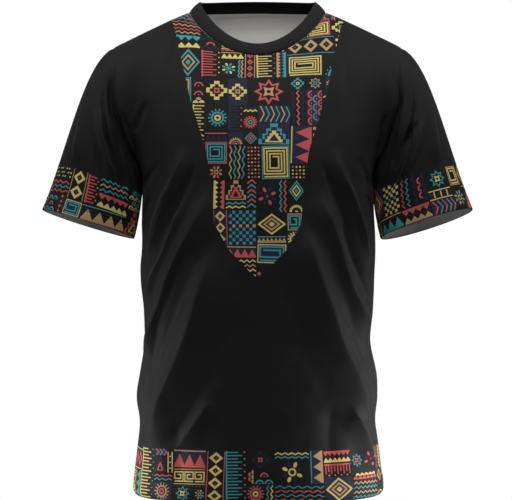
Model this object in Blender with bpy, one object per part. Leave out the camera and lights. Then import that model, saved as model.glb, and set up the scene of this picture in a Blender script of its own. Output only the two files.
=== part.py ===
"""A crew-neck T-shirt, hollow and filled out as if worn, in metres with +Z up and its front towards -Y.

Its origin is the middle of the neck, level with the high points of the shoulders. Every piece is a thin wall
over a grid of points. Neighbours share the line of their seam and stop short of it by half the seam's gap.
"""

from collections import namedtuple
from math import cos, exp, pi, radians, sin

import bmesh
import bpy
import numpy as np

# Walls and seams
CLOTH = 0.0015
TURNED_EDGE = 0.0026
RIB_WALL = 0.0024
SEAM_GAP = 0.0003
SEAM_CALM = 0.022  # creases fade out over this distance before a seam

# Body: lengths down from the high point of the shoulders
HEM_HEIGHT = -0.718
HEM_TURN_UP = 0.0245
ARMPIT_HEIGHT = -0.255
ARMPIT_HALF_WIDTH = 0.172
SECTION_POWER = {"front": 2.5, "back": 2.3}

# Shoulders and neck
SHOULDER_TIP = (0.217, -0.054)  # half width, height
SHOULDER_DROOP = 1.08
NECK_HALF_WIDTH = 0.102
NECK_DEPTH = {"front": 0.068, "back": 0.070}
NECK_DROP = {"front": -0.071, "back": 0.009}
NECK_SCOOP = {"front": 1.6, "back": 1.5}
NECK_RIM_LEAN = (0.60, 0.75, 0.72)  # way out of the cloth at the neck seam: out, forward, up

# Neck rib: its top edge, inside the seam
RIB_HALF_WIDTH = 0.087
RIB_DEPTH = {"front": 0.0615, "back": 0.0620}
RIB_RISE = {"side": 0.0155, "front": 0.0165, "back": 0.0155}
RIB_BULGE = 0.0012
RIB_ROWS = 3

# Armhole: an upright oval from the shoulder tip to the armpit
ARMHOLE_DEPTH = {"front": 0.065, "back": 0.068}
ARMHOLE_WIDEST = 0.221  # half width a third of the way down
ARMHOLE_CURVE = 2.6
ARMHOLE_BOW = 0.087  # pull of the armhole's curve towards the front or back

# Yoke, from the chest up: each pull is (out, forward, up) from the end of a column
CHEST_PULL = (0.012, 0.004, 0.078)
ARMPIT_PULL = (0.030, ARMHOLE_BOW, 0.0)
NECK_PULL = {"front": (0.0, 0.032, -0.050), "back": (0.0, 0.048, -0.044)}
SHOULDER_PULL = (0.006, 0.074, -0.010)
YOKE_EASE = 13  # columns from the middle over which the cloth turns from the neck to the shoulder
ARMPIT_TURN = 7  # how late, going sideways, a column starts to follow the armhole
ARMHOLE_FIT = 6  # how late, going sideways, a column is set to the armhole's oval
NECK_CORNER = (0.024, 2.6)  # extra pull outward where neck and shoulder meet, and its spread in columns

# Sleeves
CUFF_CENTRE = (0.2528, -0.010, -0.3178)
CUFF_HALF_WIDTH = 0.0714
CUFF_HALF_DEPTH = 0.059
CUFF_LEAN = radians(17)
CUFF_TURN_UP = 0.019
CUFF_TILT = {"left": radians(5), "right": radians(9)}  # how far each opening turns to the front

# Lines down a sleeve: each pull is (out, forward, up) from the armhole and from the cuff
SLEEVE_START_PULL = {"top": (0.0433, 0.0, -0.025), "side": (0.026, 0.012, -0.034), "under": (0.001, 0.0, -0.026)}
SLEEVE_END_PULL = {"top": (-0.0412, 0.0, 0.102), "side": (-0.022, 0.0, 0.072), "under": (-0.008, 0.0, 0.026)}
SLEEVE_SPAN = 0.20  # length that stands for the whole sleeve where its creases are measured

# Grid
NECK_STEPS = 9
SHOULDER_STEPS = 7
HALF_STEPS = NECK_STEPS + SHOULDER_STEPS
BODY_ROWS = 21
ARMHOLE_ROWS = 12
SLEEVE_ROWS = 10
CURVE_SAMPLES = 240
CREASE_SAMPLES = 40
CREASE_TAPER = 0.25  # share of a crease's length over which each end dies out
SHARP_ANGLE = radians(50)

Section = namedtuple("Section", "height left right front back")
BODY_SECTIONS = (
    Section(-0.719, 0.182, 0.181, 0.118, 0.118),
    Section(-0.706, 0.185, 0.187, 0.120, 0.120),
    Section(-0.659, 0.181, 0.182, 0.119, 0.121),
    Section(-0.611, 0.176, 0.176, 0.118, 0.120),
    Section(-0.575, 0.181, 0.179, 0.117, 0.117),
    Section(-0.539, 0.176, 0.178, 0.117, 0.113),
    Section(-0.491, 0.169, 0.169, 0.118, 0.106),
    Section(-0.443, 0.170, 0.173, 0.120, 0.103),
    Section(-0.395, 0.175, 0.1745, 0.122, 0.105),
    Section(-0.347, 0.173, 0.1765, 0.124, 0.111),
    Section(ARMPIT_HEIGHT, ARMPIT_HALF_WIDTH, ARMPIT_HALF_WIDTH, 0.125, 0.121),
)

# Creases: height out of the cloth, half width of the fold, and the line it follows as (x, height) pairs
Crease = namedtuple("Crease", "side height half_width line")
BODY_CREASES = (
    Crease("front", 0.0080, 0.028, ((-0.063, -0.365), (-0.092, -0.439), (-0.118, -0.523), (-0.160, -0.640))),
    Crease("front", 0.0080, 0.028, ((0.068, -0.334), (0.102, -0.440), (0.131, -0.513), (0.174, -0.610))),
    Crease("front", 0.0070, 0.027, ((-0.079, -0.285), (-0.105, -0.344), (-0.129, -0.404), (-0.160, -0.500))),
    Crease("front", 0.0060, 0.027, ((0.092, -0.285), (0.107, -0.323), (0.128, -0.393), (0.160, -0.480))),
    Crease("front", 0.0055, 0.026, ((-0.104, -0.235), (-0.128, -0.271), (-0.152, -0.330), (-0.160, -0.400))),
    Crease("front", 0.0050, 0.026, ((0.108, -0.230), (0.128, -0.267), (0.150, -0.330), (0.158, -0.390))),
    Crease("front", -0.0060, 0.029, ((-0.096, -0.300), (-0.120, -0.380), (-0.142, -0.455), (-0.158, -0.530))),
    Crease("front", -0.0060, 0.026, ((0.120, -0.310), (0.140, -0.375), (0.158, -0.440))),
    Crease("front", 0.0045, 0.027, ((-0.066, -0.575), (-0.087, -0.600), (-0.125, -0.655))),
    Crease("front", 0.0055, 0.027, ((0.135, -0.590), (0.158, -0.640), (0.168, -0.700))),
    Crease("front", -0.0040, 0.030, ((-0.120, -0.600), (-0.112, -0.650), (-0.118, -0.715))),
    Crease("front", -0.0035, 0.030, ((0.108, -0.570), (0.104, -0.640), (0.110, -0.715))),
    Crease("back", 0.0070, 0.029, ((-0.085, -0.250), (-0.070, -0.330), (-0.078, -0.430), (-0.110, -0.520))),
    Crease("back", 0.0065, 0.026, ((0.092, -0.245), (0.074, -0.340), (0.086, -0.450), (0.118, -0.545))),
    Crease("back", -0.0055, 0.030, ((-0.010, -0.330), (0.004, -0.430), (-0.006, -0.540))),
    Crease("back", 0.0060, 0.028, ((-0.128, -0.330), (-0.100, -0.400), (-0.040, -0.455), (0.010, -0.470))),
    Crease("back", 0.0055, 0.028, ((0.132, -0.375), (0.100, -0.440), (0.045, -0.500), (0.005, -0.520))),
    Crease("back", -0.0050, 0.028, ((-0.120, -0.440), (-0.075, -0.500), (-0.020, -0.560))),
    Crease("back", 0.0055, 0.029, ((-0.050, -0.560), (-0.080, -0.620), (-0.095, -0.700))),
    Crease("back", 0.0050, 0.026, ((0.060, -0.575), (0.084, -0.640), (0.090, -0.700))),
)

# Sleeve creases: angle round from the top (front positive, degrees) and share of the way to the cuff
SleeveCrease = namedtuple("SleeveCrease", "side height half_width line")
SLEEVE_CREASES = (
    SleeveCrease("left", -0.0060, 0.024, ((52, 0.10), (80, 0.17), (112, 0.30), (140, 0.55))),
    SleeveCrease("left", 0.0045, 0.024, ((62, 0.30), (84, 0.40), (106, 0.56), (124, 0.80))),
    SleeveCrease("left", 0.0035, 0.024, ((34, 0.24), (50, 0.40), (66, 0.62))),
    SleeveCrease("left", 0.0060, 0.024, ((-45, 0.14), (-78, 0.28), (-112, 0.50), (-130, 0.80))),
    SleeveCrease("left", -0.0045, 0.024, ((-30, 0.34), (-60, 0.52), (-85, 0.80))),
    SleeveCrease("right", -0.0060, 0.024, ((48, 0.11), (82, 0.19), (116, 0.34), (138, 0.58))),
    SleeveCrease("right", 0.0045, 0.024, ((66, 0.34), (88, 0.45), (104, 0.62), (118, 0.84))),
    SleeveCrease("right", 0.0035, 0.024, ((30, 0.20), (56, 0.38), (76, 0.60))),
    SleeveCrease("right", 0.0055, 0.024, ((-50, 0.12), (-84, 0.30), (-108, 0.54), (-126, 0.82))),
    SleeveCrease("right", -0.0045, 0.024, ((-26, 0.30), (-52, 0.50), (-80, 0.76))),
)

FORWARD = {"front": -1.0, "back": 1.0}
OUTWARD = {"left": -1.0, "right": 1.0}


def clear_scene():
    for item in list(bpy.data.objects):
        bpy.data.objects.remove(item, do_unlink=True)


def cloth_material(name, colour, roughness):
    material = bpy.data.materials.new(name)
    material.use_nodes = True
    shader = material.node_tree.nodes["Principled BSDF"]
    shader.inputs["Base Color"].default_value = (*colour, 1.0)
    shader.inputs["Roughness"].default_value = roughness
    shader.inputs["Metallic"].default_value = 0.0
    return material


def unit(vectors):
    length = np.linalg.norm(vectors, axis=-1, keepdims=True)
    return vectors / np.maximum(length, 1e-12)


def smoothstep(value):
    value = np.clip(value, 0.0, 1.0)
    return value * value * (3.0 - 2.0 * value)


def smooth_line(points, samples):
    """A Catmull-Rom curve through the points."""
    points = np.asarray(points, float)
    padded = np.vstack((2 * points[0] - points[1], points, 2 * points[-1] - points[-2]))
    place = np.linspace(0.0, len(points) - 1.0, samples)
    start = np.minimum(place.astype(int), len(points) - 2)
    t = (place - start)[:, None]
    a, b, c, d = (padded[start + step] for step in range(4))
    return 0.5 * (2 * b + (c - a) * t + (2 * a - 5 * b + 4 * c - d) * t**2 + (3 * b - a - 3 * c + d) * t**3)


def bezier(start, start_handle, end_handle, end, t):
    a = start + start_handle
    b = end + end_handle
    return (1 - t) ** 3 * start + 3 * (1 - t) ** 2 * t * a + 3 * (1 - t) * t**2 * b + t**3 * end


def section_size(height, column):
    heights = [row.height for row in BODY_SECTIONS]
    values = [getattr(row, column) for row in BODY_SECTIONS]
    curve = smooth_line(list(zip(heights, values)), CURVE_SAMPLES)
    return float(np.interp(height, curve[:, 0], curve[:, 1]))


def body_point(face, hand, height, share):
    """A point of a level section, at a share of the way round from the middle to the side."""
    power = 2.0 / SECTION_POWER[face]
    angle = np.linspace(0.0, pi / 2, CURVE_SAMPLES)
    x = section_size(height, hand) * np.sin(angle) ** power
    y = section_size(height, face) * np.abs(np.cos(angle)) ** power
    length = np.concatenate(([0.0], np.cumsum(np.hypot(np.diff(x), np.diff(y)))))
    reach = share * length[-1]
    return np.array((
        OUTWARD[hand] * np.interp(reach, length, x),
        FORWARD[face] * np.interp(reach, length, y),
        height,
    ))


def neck_point(face, hand, turn):
    """A point of the neck seam, a turn of 0 in the middle to 1 at the shoulder."""
    angle = turn * pi / 2
    across = OUTWARD[hand] * NECK_HALF_WIDTH * sin(angle)
    return np.array((
        across,
        FORWARD[face] * NECK_DEPTH[face] * cos(angle),
        NECK_DROP[face] * max(cos(angle), 0.0) ** NECK_SCOOP[face],
    ))


def rib_top_point(face, hand, turn):
    angle = turn * pi / 2
    middle = max(cos(angle), 0.0) ** 2
    rise = RIB_RISE["side"] + (RIB_RISE[face] - RIB_RISE["side"]) * middle
    return np.array((
        OUTWARD[hand] * RIB_HALF_WIDTH * sin(angle),
        FORWARD[face] * RIB_DEPTH[face] * cos(angle),
        neck_point(face, hand, turn)[2] + rise,
    ))


def shoulder_point(hand, share):
    tip_x, tip_height = SHOULDER_TIP
    across = NECK_HALF_WIDTH + (tip_x - NECK_HALF_WIDTH) * share
    return np.array((OUTWARD[hand] * across, 0.0, tip_height * share**SHOULDER_DROOP))


def armhole_point(face, hand, turn):
    """A point of the armhole seam, a turn of 0 at the shoulder tip to 1 at the armpit."""
    tip_x, tip_height = SHOULDER_TIP
    angle = turn * pi
    drop = (1.0 - cos(angle)) / 2.0
    height = tip_height + (ARMPIT_HEIGHT - tip_height) * drop
    across = tip_x + (ARMPIT_HALF_WIDTH - tip_x) * drop**ARMHOLE_CURVE
    across += (ARMHOLE_WIDEST - tip_x) * 4.0 * drop * (1.0 - drop) * (1.0 - drop / 2.0)
    return np.array((OUTWARD[hand] * across, FORWARD[face] * ARMHOLE_DEPTH[face] * sin(angle), height))


def armhole_outward(face, turn):
    """The way out of the armhole oval, level with its plane: up at the shoulder, down at the armpit."""
    angle = turn * pi
    return np.array((0.0, FORWARD[face] * sin(angle), cos(angle)))


def top_edge_point(face, hand, column):
    if column <= NECK_STEPS:
        return neck_point(face, hand, column / NECK_STEPS)
    return shoulder_point(hand, (column - NECK_STEPS) / SHOULDER_STEPS)


def pull(face, hand, size):
    out, forward, up = size
    return np.array((OUTWARD[hand] * out, FORWARD[face] * forward, up))


def yoke_point(face, hand, column, row):
    """A point above the armpit: each column is a curve from the chest up to the neck or the shoulder."""
    share = column / HALF_STEPS
    t = row / ARMHOLE_ROWS
    at_side = share**ARMPIT_TURN
    over_shoulder = smoothstep(column / YOKE_EASE)
    start = body_point(face, hand, ARMPIT_HEIGHT, share)
    start_pull = (1 - at_side) * pull(face, hand, CHEST_PULL) * (share, 1.0, 1.0)
    start_pull += at_side * pull(face, hand, ARMPIT_PULL)
    end_pull = (1 - over_shoulder) * pull(face, hand, NECK_PULL[face])
    end_pull += over_shoulder * pull(face, hand, SHOULDER_PULL)
    corner_out, corner_spread = NECK_CORNER
    end_pull[0] += OUTWARD[hand] * corner_out * exp(-(((column - NECK_STEPS) / corner_spread) ** 2))
    point = bezier(start, start_pull, end_pull, top_edge_point(face, hand, column), t)
    armpit = body_point(face, hand, ARMPIT_HEIGHT, 1.0)
    side_curve = bezier(armpit, pull(face, hand, ARMPIT_PULL), pull(face, hand, SHOULDER_PULL),
                        shoulder_point(hand, 1.0), t)
    return point + (armhole_point(face, hand, 1.0 - t) - side_curve) * share**ARMHOLE_FIT


def panel_heights():
    turn_up_top = HEM_HEIGHT + HEM_TURN_UP
    hem = [HEM_HEIGHT, HEM_HEIGHT + HEM_TURN_UP / 2]
    return hem + list(np.linspace(turn_up_top, ARMPIT_HEIGHT, BODY_ROWS + 1))


def panel_columns():
    """The hand and the step from the middle of each column, from the left side to the right."""
    left = [("left", step) for step in range(HALF_STEPS, 0, -1)]
    return left + [("right", step) for step in range(HALF_STEPS + 1)]


def panel_grid(face):
    """Rows from the hem to the neck and shoulders."""
    rows = []
    for height in panel_heights():
        rows.append([body_point(face, hand, height, step / HALF_STEPS) for hand, step in panel_columns()])
    for row in range(1, ARMHOLE_ROWS + 1):
        rows.append([yoke_point(face, hand, step, row) for hand, step in panel_columns()])
    return np.array(rows)


def grid_normals(grid, facing, closed=False):
    """Normals of a grid of points, turned to the side that facing, a function of the point, calls out."""
    if closed:
        across = np.roll(grid, -1, axis=1) - np.roll(grid, 1, axis=1)
    else:
        across = np.gradient(grid, axis=1)
    normals = unit(np.cross(across, np.gradient(grid, axis=0)))
    flip = np.sum(normals * facing, axis=-1).mean() < 0
    return -normals if flip else normals


def crease_depths(places, creases):
    """How far each place stands out, from the creases near it. Places and creases share their units."""
    depth = np.zeros(places.shape[:-1])
    for crease in creases:
        line = smooth_line(crease.line, CREASE_SAMPLES)
        lengths = np.concatenate(([0.0], np.cumsum(np.linalg.norm(np.diff(line, axis=0), axis=1))))
        gaps = np.linalg.norm(places[..., None, :] - line, axis=-1)
        nearest = gaps.argmin(axis=-1)
        near = gaps.min(axis=-1)
        along = lengths[nearest] / lengths[-1]
        ends = smoothstep(along / CREASE_TAPER) * smoothstep((1 - along) / CREASE_TAPER)
        profile = np.clip(1 - (near / crease.half_width) ** 2, 0, None) ** 2
        depth += crease.height * profile * ends
    return depth


def calm_near_edges(grid, edges):
    """1 inside a piece, falling to 0 at the named edges of its grid."""
    calm = np.ones(grid.shape[:2])
    for edge in edges:
        gap = np.linalg.norm(grid[:, :, None, :] - edge[None, None, :, :], axis=-1).min(axis=2)
        calm *= smoothstep(gap / SEAM_CALM)
    return calm


def build_wall(name, outer, inner, material, closed=False):
    """One closed body between two grids of points, split into triangles the same way on both."""
    mesh = bmesh.new()
    rows, columns = outer.shape[:2]
    outside = [[mesh.verts.new(point) for point in row] for row in outer]
    inside = [[mesh.verts.new(point) for point in row] for row in inner]
    steps = columns if closed else columns - 1

    def quad(a, b, c, d):
        mesh.faces.new((a, b, c))
        mesh.faces.new((a, c, d))

    for row in range(rows - 1):
        for step in range(steps):
            after = (step + 1) % columns
            a, b, c, d = (row, step), (row, after), (row + 1, after), (row + 1, step)
            if not closed and step >= steps // 2:
                a, b, c, d = b, c, d, a
            quad(*(outside[i][j] for i, j in (a, b, c, d)))
            quad(*(inside[i][j] for i, j in (a, b, c, d)))
    for step in range(steps):
        after = (step + 1) % columns
        for row in (0, rows - 1):
            quad(outside[row][step], outside[row][after], inside[row][after], inside[row][step])
    if not closed:
        for row in range(rows - 1):
            for step in (0, columns - 1):
                quad(outside[row][step], outside[row + 1][step], inside[row + 1][step], inside[row][step])
    bmesh.ops.recalc_face_normals(mesh, faces=mesh.faces)
    data = bpy.data.meshes.new(name)
    mesh.to_mesh(data)
    mesh.free()
    data.shade_smooth()
    data.set_sharp_from_angle(angle=SHARP_ANGLE)
    data.materials.append(material)
    piece = bpy.data.objects.new(name, data)
    bpy.context.scene.collection.objects.link(piece)
    return piece


def neck_outward(face, hand, turn):
    """Between the panel's normal and the rib's, along the neck seam."""
    angle = turn * pi / 2
    out, forward, up = NECK_RIM_LEAN
    return unit(np.array((OUTWARD[hand] * out * sin(angle), FORWARD[face] * forward * cos(angle), up)))


def rim_sides(face, grid, outward):
    """Sets the way out along the side seams and armholes, and steps back from them."""
    armpit_row = len(grid) - 1 - ARMHOLE_ROWS
    for hand, column in (("left", 0), ("right", 2 * HALF_STEPS)):
        for row in range(armpit_row + 1):
            outward[row, column] = (OUTWARD[hand], 0.0, 0.0)
            grid[row, column] += (0.0, FORWARD[face] * SEAM_GAP / 2, 0.0)
        for row in range(armpit_row, len(grid)):
            outward[row, column] = armhole_outward(face, (len(grid) - 1 - row) / ARMHOLE_ROWS)
            grid[row, column] -= (OUTWARD[hand] * SEAM_GAP / 2, 0.0, 0.0)


def rim_top(face, grid, outward):
    """Sets the way out along the shoulders and the neck, and steps back from them."""
    seam = grid[-1].copy()
    for column, (hand, step) in enumerate(panel_columns()):
        if step > NECK_STEPS:
            slope = shoulder_point(hand, 1.0) - shoulder_point(hand, 0.0)
            outward[-1, column] = unit(np.array((-slope[2], 0.0, slope[0])) * OUTWARD[hand])
        else:
            outward[-1, column] = neck_outward(face, hand, step / NECK_STEPS)
            along = seam[column + 1] - seam[column - 1]
            step_back = unit(np.cross(outward[-1, column], along)) * SEAM_GAP / 2
            if np.dot(step_back[:2], seam[column][:2]) < 0:
                step_back = -step_back
            grid[-1, column] += step_back
        if step >= NECK_STEPS:
            grid[-1, column] += (0.0, FORWARD[face] * SEAM_GAP / 2, 0.0)


def make_panel(face, material):
    grid = panel_grid(face)
    facing = grid * (1.0, 1.0, 0.0)
    depth = crease_depths(grid[..., (0, 2)], [crease for crease in BODY_CREASES if crease.side == face])
    depth *= calm_near_edges(grid, (grid[:, 0], grid[:, -1], grid[-1]))
    outer = grid + grid_normals(grid, facing) * depth[..., None]
    outward = grid_normals(outer, facing)
    rim_sides(face, outer, outward)
    rim_top(face, outer, outward)
    wall = np.full(grid.shape[:2], CLOTH)
    wall[:2] = TURNED_EDGE
    return build_wall(face + "_panel", outer, outer - outward * wall[..., None], material)


def cuff_point(hand, angle):
    """A point of the cuff's oval, by its angle round from the top, front positive."""
    out = OUTWARD[hand]
    tilt = CUFF_TILT[hand]
    across = np.array((out * cos(CUFF_LEAN), 0.0, sin(CUFF_LEAN)))
    forward = np.array((0.0, -cos(tilt), sin(tilt)))
    centre = np.array((out * CUFF_CENTRE[0], CUFF_CENTRE[1], CUFF_CENTRE[2]))
    return centre + CUFF_HALF_WIDTH * cos(angle) * across + CUFF_HALF_DEPTH * sin(angle) * forward


def sleeve_pull(hand, angle, pulls):
    """The pull of a sleeve's line at its angle round from the top, between those of top, side and underarm."""
    face = "front" if sin(angle) > 0 else "back"
    top = max(cos(angle), 0.0) ** 2 * pull(face, hand, pulls["top"])
    side = sin(angle) ** 2 * pull(face, hand, pulls["side"])
    return top + side + max(-cos(angle), 0.0) ** 2 * pull(face, hand, pulls["under"])


def sleeve_line_start(hand, step):
    """Point and way out of the armhole seam at a step round it: down the front, up the back."""
    turn = step / ARMHOLE_ROWS
    if turn <= 1.0:
        return armhole_point("front", hand, turn), armhole_outward("front", turn)
    return armhole_point("back", hand, 2.0 - turn), armhole_outward("back", 2.0 - turn)


def sleeve_shares():
    """Shares of the way down the sleeve, with rows at both ends of the cuff's turn-up."""
    length = np.linalg.norm(cuff_point("right", pi / 2) - armhole_point("front", "right", 0.5))
    turn_up = 1.0 - CUFF_TURN_UP / length
    return list(np.linspace(0.0, turn_up, SLEEVE_ROWS)) + [1.0 - 0.5 * CUFF_TURN_UP / length, 1.0]


def make_sleeve(hand, material):
    steps = 2 * ARMHOLE_ROWS
    shares = sleeve_shares()
    grid = np.zeros((len(shares), steps, 3))
    first_out = np.zeros((steps, 3))
    places = np.zeros((len(shares), steps, 2))
    for step in range(steps):
        angle = pi * step / ARMHOLE_ROWS
        turned = (angle + pi) % (2 * pi) - pi
        start, first_out[step] = sleeve_line_start(hand, step)
        start_pull = sleeve_pull(hand, angle, SLEEVE_START_PULL)
        end_pull = sleeve_pull(hand, angle, SLEEVE_END_PULL)
        for row, share in enumerate(shares):
            grid[row, step] = bezier(start, start_pull, end_pull, cuff_point(hand, angle), share)
            places[row, step] = (turned * CUFF_HALF_DEPTH, share * SLEEVE_SPAN)
    creases = []
    for crease in SLEEVE_CREASES:
        if crease.side == hand:
            line = [(radians(turn) * CUFF_HALF_DEPTH, share * SLEEVE_SPAN) for turn, share in crease.line]
            creases.append(crease._replace(line=line))
    middle = grid.mean(axis=1, keepdims=True)
    outward = grid_normals(grid, grid - middle, closed=True)
    depth = crease_depths(places, creases) * calm_near_edges(grid, (grid[0],))
    grid = grid + outward * depth[..., None]
    outward = grid_normals(grid, grid - middle, closed=True)
    outward[0] = first_out
    grid[0] += (OUTWARD[hand] * SEAM_GAP / 2, 0.0, 0.0)
    wall = np.full(grid.shape[:2], CLOTH)
    wall[-2:] = TURNED_EDGE
    return build_wall("sleeve_" + hand, grid, grid - outward * wall[..., None], material, closed=True)


def make_neck_rib(material):
    turns = [("front", "right", step / NECK_STEPS) for step in range(NECK_STEPS)]
    turns += [("back", "right", 1 - step / NECK_STEPS) for step in range(NECK_STEPS)]
    turns += [("back", "left", step / NECK_STEPS) for step in range(NECK_STEPS)]
    turns += [("front", "left", 1 - step / NECK_STEPS) for step in range(NECK_STEPS)]
    seam = np.array([neck_point(*turn) for turn in turns])
    top = np.array([rib_top_point(*turn) for turn in turns])
    seam_out = np.array([neck_outward(*turn) for turn in turns])
    ahead = np.roll(seam, -1, axis=0) - np.roll(seam, 1, axis=0)
    upright = unit(top - seam)
    face_out = unit(np.cross(ahead, upright))
    if np.sum(face_out * seam * (1, 1, 0)) < 0:
        face_out = -face_out
    aside = unit(np.cross(seam_out, ahead))
    if np.sum(aside * upright) < 0:
        aside = -aside
    rows = []
    inner_rows = []
    for share in np.linspace(0.0, 1.0, RIB_ROWS + 1):
        bulge = RIB_BULGE * 4 * share * (1 - share)
        rows.append(seam + (top - seam) * share + face_out * bulge)
        inner_rows.append(rows[-1] - face_out * RIB_WALL)
    rows[0] = seam + aside * SEAM_GAP / 2
    inner_rows[0] = rows[0] - seam_out * CLOTH
    middle = (rows[-1] + inner_rows[-1]) / 2 + upright * RIB_WALL / 2
    rows.append(middle + face_out * RIB_WALL / 4)
    inner_rows.append(middle - face_out * RIB_WALL / 4)
    return build_wall("neck_rib", np.array(rows), np.array(inner_rows), material, closed=True)


def main():
    clear_scene()
    jersey = cloth_material("black_jersey", (0.012, 0.012, 0.013), 0.62)
    rib = cloth_material("black_rib", (0.016, 0.015, 0.015), 0.7)
    make_panel("front", jersey)
    make_panel("back", jersey)
    make_sleeve("left", jersey)
    make_sleeve("right", jersey)
    make_neck_rib(rib)


main()
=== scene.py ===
from collections import namedtuple
from math import cos, pi, radians, sin

import bpy
import numpy as np
from bpy.props import FloatProperty, FloatVectorProperty, PointerProperty
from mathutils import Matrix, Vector
from mathutils.geometry import delaunay_2d_cdt
from mathutils.kdtree import KDTree


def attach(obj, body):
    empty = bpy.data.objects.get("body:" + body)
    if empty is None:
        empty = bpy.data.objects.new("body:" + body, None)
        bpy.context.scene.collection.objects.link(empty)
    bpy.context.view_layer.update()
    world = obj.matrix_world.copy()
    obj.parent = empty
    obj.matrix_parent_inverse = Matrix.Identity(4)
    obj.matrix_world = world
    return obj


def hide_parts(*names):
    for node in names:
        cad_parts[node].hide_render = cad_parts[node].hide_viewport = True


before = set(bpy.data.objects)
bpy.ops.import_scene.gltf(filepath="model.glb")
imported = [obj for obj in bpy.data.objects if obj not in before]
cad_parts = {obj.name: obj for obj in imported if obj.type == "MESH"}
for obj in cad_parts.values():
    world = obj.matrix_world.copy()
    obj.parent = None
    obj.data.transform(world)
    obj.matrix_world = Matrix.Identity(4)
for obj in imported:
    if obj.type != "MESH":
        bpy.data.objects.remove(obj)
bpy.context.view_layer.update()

bl_info = {
    "name": "Patterned T-shirt",
    "version": (1, 0, 0),
    "blender": (4, 5, 0),
    "location": "View3D > Sidebar > T-shirt",
    "description": "Dresses the T-shirt's frame in printed jersey, rib knit and sewing, on a plain stage",
    "category": "Object",
}

MM = 0.001

# The garment's form, with the sizes of the frame's own pieces
SEAM_CALM = 0.022
HEM_HEIGHT = -0.718
HEM_TURN_UP = 0.0245
ARMPIT_HEIGHT = -0.255
ARMPIT_HALF_WIDTH = 0.172
SECTION_POWER = {"front": 2.5, "back": 2.3}
SHOULDER_TIP = (0.217, -0.054)
SHOULDER_DROOP = 1.08
NECK_HALF_WIDTH = 0.102
NECK_DEPTH = {"front": 0.068, "back": 0.070}
NECK_DROP = {"front": -0.071, "back": 0.009}
NECK_SCOOP = {"front": 1.6, "back": 1.5}
RIB_HALF_WIDTH = 0.087
RIB_DEPTH = {"front": 0.0615, "back": 0.0620}
RIB_RISE = {"side": 0.0155, "front": 0.0165, "back": 0.0155}
ARMHOLE_DEPTH = {"front": 0.065, "back": 0.068}
ARMHOLE_WIDEST = 0.221
ARMHOLE_CURVE = 2.6
ARMHOLE_BOW = 0.087
CHEST_PULL = (0.012, 0.004, 0.078)
ARMPIT_PULL = (0.030, ARMHOLE_BOW, 0.0)
NECK_PULL = {"front": (0.0, 0.032, -0.050), "back": (0.0, 0.048, -0.044)}
SHOULDER_PULL = (0.006, 0.074, -0.010)
NECK_SHARE = 9 / 16  # share of the way to the side where the neck ends and the shoulder begins
YOKE_EASE = 13 / 16
ARMPIT_TURN = 7
ARMHOLE_FIT = 6
NECK_CORNER = (0.024, 2.6 / 16)
CUFF_CENTRE = (0.2528, -0.010, -0.3178)
CUFF_HALF_WIDTH = 0.0714
CUFF_HALF_DEPTH = 0.059
CUFF_LEAN = radians(17)
CUFF_TURN_UP = 0.019
CUFF_TILT = {"left": radians(5), "right": radians(9)}
SLEEVE_START_PULL = {"top": (0.0433, 0.0, -0.025), "side": (0.026, 0.012, -0.034), "under": (0.001, 0.0, -0.026)}
SLEEVE_END_PULL = {"top": (-0.0412, 0.0, 0.102), "side": (-0.022, 0.0, 0.072), "under": (-0.008, 0.0, 0.026)}
SLEEVE_SPAN = 0.20
CURVE_SAMPLES = 240
CREASE_SAMPLES = 60
CREASE_START = 0.20
CREASE_TAPER = 0.25
SHARP_HEIGHT = 0.0055
CREST_STEP = 0.0032

# The flat cut of each piece: s runs across it and t up it, both in metres
HALF_CUT = 0.25
YOKE_CUT = 0.20
TOP_CUT = ARMPIT_HEIGHT + YOKE_CUT
SLEEVE_RADIUS = 0.066
SLEEVE_HALF_CUT = pi * SLEEVE_RADIUS
GRID_STEP = 0.0022
LATTICE = 4.2  # mm between the points of a piece's mesh
EDGE_CLEAR = 1.4  # mm that they keep from its edges
SEAM_STEP = 1.6  # mm between points along an armhole
ALLOWANCE = 0.003
PROBE = 0.0004

Section = namedtuple("Section", "height left right front back")
BODY_SECTIONS = (
    Section(-0.719, 0.182, 0.181, 0.118, 0.118),
    Section(-0.706, 0.185, 0.187, 0.120, 0.120),
    Section(-0.659, 0.181, 0.182, 0.119, 0.121),
    Section(-0.611, 0.176, 0.176, 0.118, 0.120),
    Section(-0.575, 0.181, 0.179, 0.117, 0.117),
    Section(-0.539, 0.176, 0.178, 0.117, 0.113),
    Section(-0.491, 0.169, 0.169, 0.118, 0.106),
    Section(-0.443, 0.170, 0.173, 0.120, 0.103),
    Section(-0.395, 0.175, 0.1745, 0.122, 0.105),
    Section(-0.347, 0.173, 0.1765, 0.124, 0.111),
    Section(ARMPIT_HEIGHT, ARMPIT_HALF_WIDTH, ARMPIT_HALF_WIDTH, 0.125, 0.121),
)

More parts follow.
